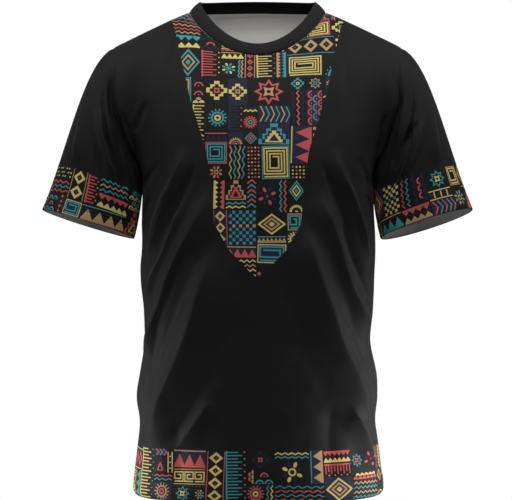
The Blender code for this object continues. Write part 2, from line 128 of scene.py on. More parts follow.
# Creases: height out of the cloth, width of the flank towards the middle and of the outer one, and the line
# as (x, height) pairs
Crease = namedtuple("Crease", "side height inner outer line")
BODY_CREASES = (
    Crease("front", 0.0135, 0.062, 0.030, (
        (-0.058, -0.340), (-0.082, -0.414), (-0.095, -0.460), (-0.118, -0.523), (-0.143, -0.592), (-0.166, -0.670))),
    Crease("front", 0.0130, 0.062, 0.030, (
        (0.060, -0.310), (0.091, -0.401), (0.115, -0.476), (0.137, -0.530), (0.153, -0.577), (0.169, -0.645))),
    Crease("front", 0.0115, 0.034, 0.022, (
        (-0.070, -0.264), (-0.088, -0.315), (-0.116, -0.370), (-0.140, -0.438), (-0.162, -0.502), (-0.170, -0.540))),
    Crease("front", 0.0110, 0.034, 0.022, (
        (0.086, -0.270), (0.107, -0.323), (0.128, -0.393), (0.145, -0.435), (0.166, -0.490))),
    Crease("front", 0.0080, 0.022, 0.016, ((-0.098, -0.216), (-0.128, -0.271), (-0.148, -0.320), (-0.162, -0.380))),
    Crease("front", 0.0078, 0.022, 0.016, ((0.102, -0.216), (0.128, -0.267), (0.150, -0.330), (0.164, -0.390))),
    Crease("front", 0.0060, 0.018, 0.012, ((-0.106, -0.282), (-0.120, -0.316), (-0.138, -0.366), (-0.164, -0.446))),
    Crease("front", -0.0045, 0.018, 0.018, ((-0.094, -0.330), (-0.118, -0.395), (-0.144, -0.470), (-0.164, -0.545))),
    Crease("front", -0.0060, 0.016, 0.016, ((0.118, -0.300), (0.138, -0.366), (0.160, -0.415), (0.168, -0.460))),
    Crease("front", 0.0050, 0.030, 0.018, ((-0.062, -0.568), (-0.087, -0.600), (-0.125, -0.655))),
    Crease("front", 0.0075, 0.030, 0.018, ((0.130, -0.580), (0.158, -0.632), (0.172, -0.690))),
    Crease("front", -0.0045, 0.034, 0.034, ((-0.120, -0.600), (-0.112, -0.650), (-0.118, -0.715))),
    Crease("front", -0.0035, 0.034, 0.034, ((0.108, -0.570), (0.104, -0.640), (0.110, -0.715))),
    Crease("front", 0.0046, 0.014, 0.010, ((-0.120, -0.258), (-0.136, -0.300), (-0.154, -0.360))),
    Crease("front", -0.0042, 0.010, 0.012, ((-0.088, -0.232), (-0.112, -0.285), (-0.134, -0.346))),
    Crease("front", 0.0042, 0.014, 0.010, ((0.118, -0.242), (0.140, -0.296), (0.159, -0.356))),
    Crease("front", -0.0040, 0.010, 0.012, ((0.090, -0.230), (0.112, -0.276), (0.132, -0.334))),
    Crease("front", 0.0030, 0.018, 0.012, ((-0.100, -0.414), (-0.124, -0.480), (-0.152, -0.566))),
    Crease("front", 0.0028, 0.018, 0.012, ((0.110, -0.418), (0.138, -0.492), (0.164, -0.552))),
    Crease("back", 0.0110, 0.022, 0.040, ((-0.085, -0.240), (-0.070, -0.330), (-0.078, -0.430), (-0.110, -0.520))),
    Crease("back", 0.0100, 0.020, 0.036, ((0.092, -0.235), (0.074, -0.340), (0.086, -0.450), (0.118, -0.545))),
    Crease("back", -0.0075, 0.030, 0.030, ((-0.010, -0.320), (0.004, -0.430), (-0.006, -0.550))),
    Crease("back", 0.0090, 0.018, 0.034, ((-0.132, -0.320), (-0.100, -0.400), (-0.040, -0.455), (0.012, -0.472))),
    Crease("back", 0.0085, 0.019, 0.034, ((0.136, -0.365), (0.100, -0.440), (0.045, -0.500), (0.003, -0.522))),
    Crease("back", -0.0065, 0.026, 0.026, ((-0.124, -0.430), (-0.075, -0.500), (-0.020, -0.562))),
    Crease("back", 0.0075, 0.024, 0.034, ((-0.048, -0.550), (-0.080, -0.620), (-0.095, -0.700))),
    Crease("back", 0.0070, 0.021, 0.032, ((0.058, -0.565), (0.084, -0.640), (0.090, -0.700))),
    Crease("back", 0.0040, 0.012, 0.018, ((-0.138, -0.280), (-0.118, -0.345), (-0.108, -0.424))),
    Crease("back", 0.0038, 0.012, 0.018, ((0.142, -0.285), (0.126, -0.352), (0.118, -0.436))),
    Crease("back", -0.0036, 0.013, 0.017, ((-0.062, -0.436), (-0.020, -0.486), (0.034, -0.503))),
    Crease("back", 0.0036, 0.014, 0.018, ((-0.142, -0.516), (-0.100, -0.560), (-0.048, -0.588))),
    Crease("back", 0.0032, 0.013, 0.017, ((0.144, -0.464), (0.110, -0.520), (0.058, -0.562))),
)

# Sleeve creases: angle round from the top (front positive, degrees) and share of the way to the cuff
SleeveCrease = namedtuple("SleeveCrease", "side height inner outer line")
SLEEVE_CREASES = (
    SleeveCrease("left", -0.0070, 0.018, 0.018, ((52, 0.10), (80, 0.17), (112, 0.30), (140, 0.55))),
    SleeveCrease("left", 0.0065, 0.014, 0.022, ((62, 0.26), (84, 0.38), (106, 0.56), (124, 0.84))),
    SleeveCrease("left", 0.0060, 0.016, 0.026, ((30, 0.16), (46, 0.40), (58, 0.74))),
    SleeveCrease("left", 0.0080, 0.018, 0.026, ((-45, 0.14), (-78, 0.28), (-112, 0.50), (-130, 0.80))),
    SleeveCrease("left", -0.0060, 0.020, 0.020, ((-30, 0.34), (-60, 0.52), (-85, 0.80))),
    SleeveCrease("left", 0.0038, 0.009, 0.012, ((70, 0.16), (92, 0.26), (122, 0.46))),
    SleeveCrease("left", -0.0034, 0.009, 0.010, ((90, 0.40), (110, 0.58), (130, 0.78))),
    SleeveCrease("left", 0.0030, 0.008, 0.010, ((100, 0.22), (118, 0.36), (136, 0.60))),
    SleeveCrease("right", -0.0070, 0.018, 0.018, ((48, 0.11), (82, 0.19), (116, 0.34), (138, 0.58))),
    SleeveCrease("right", 0.0065, 0.014, 0.022, ((66, 0.30), (88, 0.43), (104, 0.62), (118, 0.88))),
    SleeveCrease("right", 0.0060, 0.016, 0.026, ((26, 0.14), (48, 0.38), (64, 0.72))),
    SleeveCrease("right", 0.0075, 0.018, 0.026, ((-50, 0.12), (-84, 0.30), (-108, 0.54), (-126, 0.82))),
    SleeveCrease("right", -0.0060, 0.020, 0.020, ((-26, 0.30), (-52, 0.50), (-80, 0.76))),
    SleeveCrease("right", 0.0038, 0.009, 0.012, ((72, 0.18), (94, 0.30), (124, 0.50))),
    SleeveCrease("right", -0.0034, 0.009, 0.010, ((84, 0.46), (106, 0.62), (126, 0.84))),
    SleeveCrease("right", 0.0030, 0.008, 0.010, ((102, 0.24), (120, 0.40), (138, 0.64))),
)
CREST = 0.065  # roundness of a crease's crest, as a share of its flank

# The gutter along each armhole seam: how deep it is at turns from the shoulder's tip (0) to the armpit (1)
Gutter = namedtuple("Gutter", "turn front back")
GUTTERS = (
    Gutter(0.00, 0.0000, 0.0000), Gutter(0.20, 0.0020, 0.0010), Gutter(0.40, 0.0085, 0.0050),
    Gutter(0.62, 0.0150, 0.0100), Gutter(0.85, 0.0165, 0.0120), Gutter(1.00, 0.0090, 0.0090),
)
PANEL_GUTTER = 0.0115
SLEEVE_GUTTER = 0.026
GUTTER_SIDEWAYS = 0.5

# Tight tucks round the armholes, which run across the seams: how far each goes in (or stands out, where its
# depth is below 0), its half width, and its line as (x, height) pairs
Tuck = namedtuple("Tuck", "side depth width line")
TUCKS = (
    Tuck("front", 0.0080, 0.0085, (
        (-0.2145, -0.090), (-0.2165, -0.125), (-0.2145, -0.155), (-0.2016, -0.185), (-0.1888, -0.219),
        (-0.1802, -0.249), (-0.1750, -0.285))),
    Tuck("front", -0.0040, 0.0080, ((-0.2215, -0.112), (-0.2187, -0.168), (-0.2102, -0.202), (-0.1976, -0.241))),
    Tuck("front", 0.0038, 0.0090, ((-0.2000, -0.148), (-0.1976, -0.162), (-0.1844, -0.198), (-0.1770, -0.240))),
    Tuck("front", 0.0060, 0.0075, ((-0.2110, -0.180), (-0.2063, -0.198), (-0.1976, -0.241), (-0.1888, -0.268))),
    Tuck("front", 0.0045, 0.0080, ((-0.1422, -0.228), (-0.1674, -0.262), (-0.1760, -0.292))),
    Tuck("front", 0.0045, 0.0080, ((-0.1540, -0.272), (-0.1600, -0.288), (-0.1710, -0.315))),
    Tuck("front", 0.0035, 0.0090, ((-0.1600, -0.138), (-0.1680, -0.156), (-0.1830, -0.186))),
    Tuck("front", 0.0075, 0.0085, (
        (0.2051, -0.094), (0.2083, -0.138), (0.1997, -0.164), (0.1913, -0.198), (0.1849, -0.232),
        (0.1763, -0.262))),
    Tuck("front", -0.0040, 0.0080, ((0.2092, -0.108), (0.2116, -0.142), (0.2083, -0.176), (0.1990, -0.210))),
    Tuck("front", 0.0055, 0.0090, ((0.2360, -0.165), (0.2126, -0.206), (0.1955, -0.241))),
    Tuck("front", 0.0050, 0.0080, ((0.1900, -0.152), (0.1830, -0.182), (0.1770, -0.222))),
    Tuck("front", 0.0040, 0.0080, ((0.1440, -0.222), (0.1560, -0.244), (0.1660, -0.270))),
    Tuck("front", 0.0045, 0.0080, ((0.1560, -0.272), (0.1650, -0.292), (0.1780, -0.317))),
    Tuck("back", 0.0075, 0.0085, (
        (0.2130, -0.100), (0.2160, -0.140), (0.2080, -0.172), (0.1930, -0.206), (0.1830, -0.240),
        (0.1770, -0.270))),
    Tuck("back", -0.0040, 0.0080, ((0.2200, -0.124), (0.2160, -0.174), (0.2040, -0.216), (0.1950, -0.242))),
    Tuck("back", 0.0055, 0.0080, ((0.1980, -0.140), (0.1880, -0.180), (0.1790, -0.226))),
    Tuck("back", 0.0045, 0.0085, ((0.1460, -0.214), (0.1620, -0.242), (0.1720, -0.276))),
    Tuck("back", 0.0070, 0.0085, (
        (-0.2080, -0.092), (-0.2140, -0.130), (-0.2090, -0.166), (-0.1960, -0.198), (-0.1860, -0.236),
        (-0.1780, -0.272))),
    Tuck("back", -0.0036, 0.0080, ((-0.2180, -0.118), (-0.2160, -0.160), (-0.2060, -0.204))),
    Tuck("back", 0.0050, 0.0085, ((-0.2260, -0.170), (-0.2100, -0.212), (-0.1980, -0.246))),
    Tuck("back", 0.0040, 0.0080, ((-0.1500, -0.226), (-0.1640, -0.252), (-0.1740, -0.284))),
)
TUCK_FADE = 0.018
TUCK_CREST = 0.28

FORWARD = {"front": -1.0, "back": 1.0}
OUTWARD = {"left": -1.0, "right": 1.0}
INKS = ("ground", "navy", "yellow", "gold", "coral", "teal")


class ShirtSizes(bpy.types.PropertyGroup):
    """Sizes of the cloth and its sewing."""

    cloth: FloatProperty(name="Cloth", description="Thickness of one layer of jersey",
                         default=0.0009, min=0.0003, max=0.002, unit="LENGTH")
    seam_dip: FloatProperty(name="Seam dip", description="How far the cloth sinks in at a seam",
                            default=0.0010, min=0.0, max=0.003, unit="LENGTH")
    seam_width: FloatProperty(name="Seam width", description="How far from a seam the cloth sinks",
                              default=0.0050, min=0.001, max=0.02, unit="LENGTH")
    stitch: FloatProperty(name="Stitch", description="Length of one stitch",
                          default=0.0030, min=0.001, max=0.01, unit="LENGTH")
    thread: FloatProperty(name="Thread", description="Thickness of the sewing thread",
                          default=0.0006, min=0.0002, max=0.002, unit="LENGTH")
    rib_pitch: FloatProperty(name="Rib pitch", description="Width of one rib of the neck band",
                             default=0.0021, min=0.001, max=0.01, unit="LENGTH")
    rib_depth: FloatProperty(name="Rib depth", description="Depth of the groove between two ribs",
                             default=0.00035, min=0.0, max=0.002, unit="LENGTH")


class ShirtColours(bpy.types.PropertyGroup):
    """Colours of the cloth, its print and its sewing."""

    ground: FloatVectorProperty(name="Ground", description="Black of the jersey", subtype="COLOR",
                                default=(0.0045, 0.0045, 0.0046), min=0, max=1)
    navy: FloatVectorProperty(name="Navy", description="Dark blue fields of the print", subtype="COLOR",
                              default=(0.012, 0.013, 0.030), min=0, max=1)
    yellow: FloatVectorProperty(name="Yellow", description="Yellow of the print", subtype="COLOR",
                                default=(0.48, 0.385, 0.12), min=0, max=1)
    gold: FloatVectorProperty(name="Gold", description="Orange gold of the print", subtype="COLOR",
                              default=(0.34, 0.212, 0.098), min=0, max=1)
    coral: FloatVectorProperty(name="Coral", description="Red of the print", subtype="COLOR",
                               default=(0.40, 0.069, 0.065), min=0, max=1)
    teal: FloatVectorProperty(name="Teal", description="Blue green of the print", subtype="COLOR",
                              default=(0.036, 0.212, 0.235), min=0, max=1)
    # Turned up: the face shown below the top of a turned-up edge. It is partly its own face and partly painted shade:
    # its grey is the inside's colour darkened to stand for the shade inside a cuff or hem
    turned: FloatVectorProperty(name="Turned up", description="Outer face where it is turned up inside",
                                subtype="COLOR", default=(0.22, 0.215, 0.21), min=0, max=1)
    inside: FloatVectorProperty(name="Inside", description="Unprinted inner face of the cloth", subtype="COLOR",
                                default=(0.86, 0.84, 0.81), min=0, max=1)
    rib: FloatVectorProperty(name="Rib", description="Neck band", subtype="COLOR",
                             default=(0.0095, 0.0090, 0.0088), min=0, max=1)
    # Rib inside is darker than the rib, and its material has no sheen: painted shade on the inner face of the neck
    # band, where little light falls
    rib_inside: FloatVectorProperty(name="Rib inside", description="Inner face of the neck band", subtype="COLOR",
                                    default=(0.0035, 0.0035, 0.0035), min=0, max=1)
    thread: FloatVectorProperty(name="Thread", description="Sewing thread", subtype="COLOR",
                                default=(0.016, 0.016, 0.017), min=0, max=1)
    floor: FloatVectorProperty(name="Floor", description="Floor and backdrop", subtype="COLOR",
                               default=(0.93, 0.93, 0.93), min=0, max=1)


def unit(vectors):
    length = np.linalg.norm(vectors, axis=-1, keepdims=True)
    return vectors / np.maximum(length, 1e-12)


def smoothstep(value):
    value = np.clip(value, 0.0, 1.0)
    return value * value * (3.0 - 2.0 * value)


def smooth_line(points, samples):
    """A Catmull-Rom curve through the points."""
    points = np.asarray(points, float)
    padded = np.vstack((2 * points[0] - points[1], points, 2 * points[-1] - points[-2]))
    place = np.linspace(0.0, len(points) - 1.0, samples)
    start = np.minimum(place.astype(int), len(points) - 2)
    t = (place - start)[:, None]
    a, b, c, d = (padded[start + step] for step in range(4))
    return 0.5 * (2 * b + (c - a) * t + (2 * a - 5 * b + 4 * c - d) * t**2 + (3 * b - a - 3 * c + d) * t**3)


def bezier(start, start_handle, end_handle, end, t):
    a = start + start_handle
    b = end + end_handle
    return (1 - t) ** 3 * start + 3 * (1 - t) ** 2 * t * a + 3 * (1 - t) * t**2 * b + t**3 * end


def section_size(height, column):
    curve = smooth_line(BODY_SECTIONS, CURVE_SAMPLES)
    return np.interp(height, curve[:, 0], curve[:, Section._fields.index(column)])


def body_row(face, height, shares):
    """Points of a level section at shares of the way round from the middle, the left ones negative."""
    power = 2.0 / SECTION_POWER[face]
    angle = np.linspace(0.0, pi / 2, CURVE_SAMPLES)
    points = np.full((len(shares), 3), height)
    for hand in OUTWARD:
        x = section_size(height, hand) * np.sin(angle) ** power
        y = section_size(height, face) * np.abs(np.cos(angle)) ** power
        length = np.concatenate(([0.0], np.cumsum(np.hypot(np.diff(x), np.diff(y)))))
        mine = shares * OUTWARD[hand] >= 0
        reach = np.abs(shares[mine]) * length[-1]
        points[mine, 0] = OUTWARD[hand] * np.interp(reach, length, x)
        points[mine, 1] = FORWARD[face] * np.interp(reach, length, y)
    return points


def neck_points(face, turn):
    """Points of the neck seam, a turn of 0 in the middle to 1 at the right shoulder, and -1 at the left."""
    level = np.maximum(np.cos(turn * pi / 2), 0.0)
    return np.stack((
        NECK_HALF_WIDTH * np.sin(turn * pi / 2),
        FORWARD[face] * NECK_DEPTH[face] * level,
        NECK_DROP[face] * level ** NECK_SCOOP[face],
    ), axis=-1)


def armhole_points(face, out, turn):
    """Points of the armhole seam, a turn of 0 at the shoulder tip to 1 at the armpit. out is -1 or 1."""
    tip_x, tip_height = SHOULDER_TIP
    drop = (1.0 - np.cos(turn * pi)) / 2.0
    height = tip_height + (ARMPIT_HEIGHT - tip_height) * drop
    across = tip_x + (ARMPIT_HALF_WIDTH - tip_x) * drop**ARMHOLE_CURVE
    across = across + (ARMHOLE_WIDEST - tip_x) * 4.0 * drop * (1.0 - drop) * (1.0 - drop / 2.0)
    forward = FORWARD[face] * ARMHOLE_DEPTH[face] * np.sin(turn * pi)
    return np.stack(np.broadcast_arrays(out * across, forward, height), axis=-1)


def top_edge(face, shares):
    share = np.abs(shares)
    over = np.clip((share - NECK_SHARE) / (1 - NECK_SHARE), 0.0, 1.0)
    tip_x, tip_height = SHOULDER_TIP
    across = np.sign(shares) * (NECK_HALF_WIDTH + (tip_x - NECK_HALF_WIDTH) * over)
    shoulder = np.stack((across, 0 * over, tip_height * over**SHOULDER_DROOP), axis=-1)
    neck = neck_points(face, np.clip(shares / NECK_SHARE, -1.0, 1.0))
    return np.where((share > NECK_SHARE)[:, None], shoulder, neck)


def pull(face, out, size):
    across, forward, up = size
    across, forward, up = np.broadcast_arrays(out * across, FORWARD[face] * forward, up)
    return np.stack((across, forward, up), axis=-1)


def yoke_row(face, shares, t):
    """Points above the armpit, each column a curve from the chest up to the neck or the shoulder."""
    out = np.where(shares < 0, -1.0, 1.0)
    share = np.abs(shares)
    at_side = (share**ARMPIT_TURN)[:, None]
    over_shoulder = smoothstep(share / YOKE_EASE)[:, None]
    start = body_row(face, ARMPIT_HEIGHT, shares)
    chest = pull(face, out, CHEST_PULL) * np.stack((share, 0 * share + 1, 0 * share + 1), axis=-1)
    start_pull = (1 - at_side) * chest + at_side * pull(face, out, ARMPIT_PULL)
    end_pull = (1 - over_shoulder) * pull(face, out, NECK_PULL[face]) + over_shoulder * pull(face, out, SHOULDER_PULL)
    corner_out, corner_spread = NECK_CORNER
    end_pull[:, 0] += out * corner_out * np.exp(-(((share - NECK_SHARE) / corner_spread) ** 2))
    points = bezier(start, start_pull, end_pull, top_edge(face, shares), t)
    for hand, side in OUTWARD.items():
        mine = out == side
        ends = body_row(face, ARMPIT_HEIGHT, np.array((side,))), top_edge(face, np.array((side,)))
        side_curve = bezier(ends[0], pull(face, side, ARMPIT_PULL), pull(face, side, SHOULDER_PULL), ends[1], t)
        fit = (armhole_points(face, side, 1.0 - t) - side_curve) * (share[mine] ** ARMHOLE_FIT)[:, None]
        points[mine] += fit
    return points


def cuff_points(hand, angle):
    """Points of the cuff's oval, by their angle round from the top, front positive."""
    out = OUTWARD[hand]
    tilt = CUFF_TILT[hand]
    across = np.array((out * cos(CUFF_LEAN), 0.0, sin(CUFF_LEAN)))
    forward = np.array((0.0, -cos(tilt), sin(tilt)))
    centre = np.array((out * CUFF_CENTRE[0], CUFF_CENTRE[1], CUFF_CENTRE[2]))
    round_top = CUFF_HALF_WIDTH * np.cos(angle)[:, None] * across
    return centre + round_top + CUFF_HALF_DEPTH * np.sin(angle)[:, None] * forward


def sleeve_pull(hand, angle, pulls):
    """The pull of each line down a sleeve, between those of top, side and underarm."""
    out = OUTWARD[hand]
    weights = {"top": np.maximum(np.cos(angle), 0) ** 2, "side": np.sin(angle) ** 2,
               "under": np.maximum(-np.cos(angle), 0) ** 2}
    total = np.zeros((len(angle), 3))
    for part, weight in weights.items():
        across, forward, up = pulls[part]
        faces = np.where(np.sin(angle) > 0, -1.0, 1.0)
        total += weight[:, None] * np.stack((0 * angle + out * across, faces * forward, 0 * angle + up), axis=-1)
    return total


def line_gaps(spots, line):
    """Each spot's way from a line, and its place along it as a share of its length."""
    start, along = line[:-1], np.diff(line, axis=0)
    steps = np.linalg.norm(along, axis=1)
    reach = np.einsum("psc,sc->ps", spots[:, None, :] - start, along) / steps**2
    reach = np.clip(reach, 0, 1)
    away = spots[:, None, :] - start - reach[..., None] * along
    nearest = np.linalg.norm(away, axis=-1).argmin(axis=-1)
    spot = np.arange(len(spots))
    travelled = np.cumsum(steps)[nearest] - (1 - reach[spot, nearest]) * steps[nearest]
    return away[spot, nearest], travelled / steps.sum()


def crease_depths(places, creases):
    """How far each place stands out, from the creases near it. Places and creases share their units."""
    depth = np.zeros(places.shape[:-1])
    for crease in creases:
        line = smooth_line(crease.line, CREASE_SAMPLES)
        reach = max(crease.inner, crease.outer)
        near = np.all((places > line.min(axis=0) - reach) & (places < line.max(axis=0) + reach), axis=-1)
        away, along = line_gaps(places[near], line)
        outer_side = away[:, 0] * np.sign(line.mean(axis=0)[0]) > 0
        gap = np.linalg.norm(away, axis=-1) / np.where(outer_side, crease.outer, crease.inner)
        ends = smoothstep(along / CREASE_START) * smoothstep((1 - along) / CREASE_TAPER)
        depth[near] += crease.height * sharpened(gap) * ends
    return depth


def sharpened(gap, crest=CREST):
    """1 at a crest, falling steeply at first and then gently to 0 at a gap of 1."""
    rounded = (np.hypot(gap, crest) - crest) / (np.hypot(1.0, crest) - crest)
    return np.clip(1 - rounded, 0, None) ** 1.7


def press_gutters(grid, width):
    """Sinks the cloth along both armhole seams. Pieces that meet there sink alike, and a panel's own part
    of the gutter is narrow and steep."""
    turn = np.linspace(0.0, 1.0, 600)
    table = np.array(GUTTERS)
    pressed = grid.copy()
    for out in OUTWARD.values():
        lines = [armhole_points(face, out, turn) for face in FORWARD]
        line = np.concatenate(lines)
        depth = np.concatenate([np.interp(turn, table[:, 0], table[:, 1 + i]) for i in range(2)])
        centre = (0.0, 0.0, (SHOULDER_TIP[1] + ARMPIT_HEIGHT) / 2)
        away = unit((line - centre) * (0.0, 1.0, 1.0)) + (out * GUTTER_SIDEWAYS, 0.0, 0.0)
        inward = -unit(away) * depth[:, None]
        low, high = line.min(axis=0) - width, line.max(axis=0) + width
        near = np.all((grid > low) & (grid < high), axis=-1)
        spots = grid[near]
        gaps = np.linalg.norm(spots[:, None, :] - line, axis=-1)
        nearest = gaps.argmin(axis=-1)
        gap = gaps.min(axis=-1) / width
        share = np.clip(1 - gap**2.2, 0, None) ** 1.3 if width == PANEL_GUTTER else sharpened(gap)
        pressed[near] += inward[nearest] * share[:, None]
    return pressed


def unevenness(s, t, seed):
    """Shallow waves of many directions, which no cloth is without."""
    source = np.random.default_rng(seed)
    height = np.zeros(np.broadcast(s, t).shape)
    for wave in np.geomspace(0.16, 0.024, 16):
        turn = source.uniform(0, pi)
        phase = source.uniform(0, 2 * pi)
        height += 0.0020 * wave * np.sin(2 * pi * (s * cos(turn) + t * sin(turn)) / wave + phase)
    return height


def press_tucks(grid):
    """Pushes the tucks in from the front and the back. Pieces that meet on a tuck's line go in alike."""
    pressed = grid.copy()
    places = grid[..., (0, 2)]
    for tuck in TUCKS:
        line = smooth_line(tuck.line, CREASE_SAMPLES)
        near = np.all((places > line.min(axis=0) - tuck.width) & (places < line.max(axis=0) + tuck.width), axis=-1)
        near &= grid[..., 1] * FORWARD[tuck.side] > 0
        away, along = line_gaps(places[near], line)
        share = sharpened(np.linalg.norm(away, axis=-1) / tuck.width, TUCK_CREST)
        share *= smoothstep(along / CREASE_TAPER) * smoothstep((1 - along) / CREASE_TAPER)
        share *= smoothstep(np.abs(grid[near][:, 1]) / TUCK_FADE)
        pressed[near, 1] -= FORWARD[tuck.side] * tuck.depth * share
    return pressed


class Surface:
    """A piece of cloth in its shape: a grid of points that is read anywhere between them, by s and t."""

    def __init__(self, points, s_range, rows, closed=False):
        self.points = points
        self.s_range = s_range
        self.rows = rows  # gives the row, as a share of the grid's height, from s and t
        self.closed = closed
        self.detail = lambda s, t: 0.0 * s
        self.normals = self.grid_normals()

    def grid_normals(self):
        if self.closed:
            across = np.roll(self.points, -1, axis=1) - np.roll(self.points, 1, axis=1)
            across[:, 0] = across[:, -1] = self.points[:, 1] - self.points[:, -2]
        else:
            across = np.gradient(self.points, axis=1)
        return unit(np.cross(across, np.gradient(self.points, axis=0)))

    def read(self, grid, s, t):
        """Catmull-Rom between the grid's points, both ways."""
        rows, columns = grid.shape[:2]
        low, high = self.s_range
        across = np.clip((s - low) / (high - low), 0, 1) * (columns - 1)
        up = np.clip(self.rows(s, t), 0, 1) * (rows - 1)
        column = np.minimum(across.astype(int), columns - 2)
        row = np.minimum(up.astype(int), rows - 2)
        result = 0.0
        for i, row_weight in enumerate(cubic_weights(up - row)):
            near_row = np.clip(row + i - 1, 0, rows - 1)
            for j, column_weight in enumerate(cubic_weights(across - column)):
                near_column = column + j - 1
                if self.closed:
                    near_column = near_column % (columns - 1)
                else:
                    near_column = np.clip(near_column, 0, columns - 1)
                result = result + (row_weight * column_weight)[:, None] * grid[near_row, near_column]
        return result

    def at(self, s, t):
        return self.read(self.points, s, t) + unit(self.read(self.normals, s, t)) * self.detail(s, t)[:, None]

    def normal_at(self, s, t):
        low, high = self.s_range
        if self.closed:
            left, right = s - PROBE, s + PROBE
            left = np.where(left < low, left + high - low, left)
            right = np.where(right > high, right - high + low, right)
        else:
            left, right = np.maximum(s - PROBE, low), np.minimum(s + PROBE, high)
        across = self.at(right, t) - self.at(left, t)
        along = self.at(s, t + PROBE) - self.at(s, t - PROBE)
        return unit(np.cross(across, along))


def cubic_weights(t):
    return (
        (-t**3 + 2 * t**2 - t) / 2,
        (3 * t**3 - 5 * t**2 + 2) / 2,
        (-3 * t**3 + 4 * t**2 + t) / 2,
        (t**3 - t**2) / 2,
    )


def calm_near_edges(grid, edges):
    """1 inside a piece, falling to 0 at the named edges of its grid."""
    calm = np.ones(grid.shape[:2])
    for edge in edges:
        gap = np.full(grid.shape[:2], 1.0)
        for point in edge[::2]:
            gap = np.minimum(gap, np.linalg.norm(grid - point, axis=-1))
        calm *= smoothstep(gap / SEAM_CALM)
    return calm


def flat_line(face, line):
    """A crease's (x, height) pairs as places on the flat cut."""
    shares = np.linspace(-1.0, 1.0, CURVE_SAMPLES)
    places = []
    for x, height in line:
        row = body_row(face, min(height, ARMPIT_HEIGHT), shares)
        places.append((np.interp(x, row[:, 0], shares) * HALF_CUT, height))
    return places


def panel_surface(face, sizes):
    shares = np.linspace(-1.0, 1.0, 2 * round(HALF_CUT / GRID_STEP) + 1)
    heights = np.linspace(HEM_HEIGHT, TOP_CUT, round((TOP_CUT - HEM_HEIGHT) / GRID_STEP) + 1)
    rows = []
    for height in heights:
        if height <= ARMPIT_HEIGHT:
            rows.append(body_row(face, height, shares))
        else:
            rows.append(yoke_row(face, shares, (height - ARMPIT_HEIGHT) / YOKE_CUT))
    grid = np.array(rows)
    s, t = np.meshgrid(shares * HALF_CUT, heights)
    creases = [crease._replace(line=flat_line(face, crease.line)) for crease in BODY_CREASES if crease.side == face]
    depth = crease_depths(np.stack((s, t), axis=-1), creases) + unevenness(s, t, len(face))
    depth *= calm_near_edges(grid, (grid[:, 0], grid[:, -1], grid[-1]))
    grid = press_tucks(press_gutters(grid, PANEL_GUTTER))
    if face == "back":
        grid = grid[:, ::-1]
        depth = depth[:, ::-1]
    def up(s, t):
        return (t - HEM_HEIGHT) / (TOP_CUT - HEM_HEIGHT)
    surface = Surface(grid, (-HALF_CUT, HALF_CUT), up)
    surface = Surface(grid + surface.normals * depth[..., None], (-HALF_CUT, HALF_CUT), up)

    def detail(s, t):
        tucked = smoothstep((t - ARMPIT_HEIGHT) / 0.01) * smoothstep((TOP_CUT - 0.03 - t) / 0.01)
        edge = np.minimum(HALF_CUT - np.abs(s) + tucked * sizes.seam_width, TOP_CUT - t)
        seam = -sizes.seam_dip * (1 - smoothstep(edge / sizes.seam_width))
        return seam + fold_detail(t - HEM_HEIGHT, HEM_TURN_UP)

    surface.detail = detail
    surface.crests = crest_points(creases, 1.0)
    return surface


def fold_detail(up, turn_up):
    """The swell of a turned-up edge, drawn in along its sewing."""
    swell = 0.0004 * (1 - smoothstep((up - turn_up) / 0.003))
    for row in SEAM_ROWS:
        swell = swell - 0.0005 * np.exp(-(((up - turn_up + row) / 0.0012) ** 2))
    return swell - 0.0006 * (1 - smoothstep(up / 0.0012))


SEAM_ROWS = (0.0015, 0.0065)  # down from the top of a turned-up edge


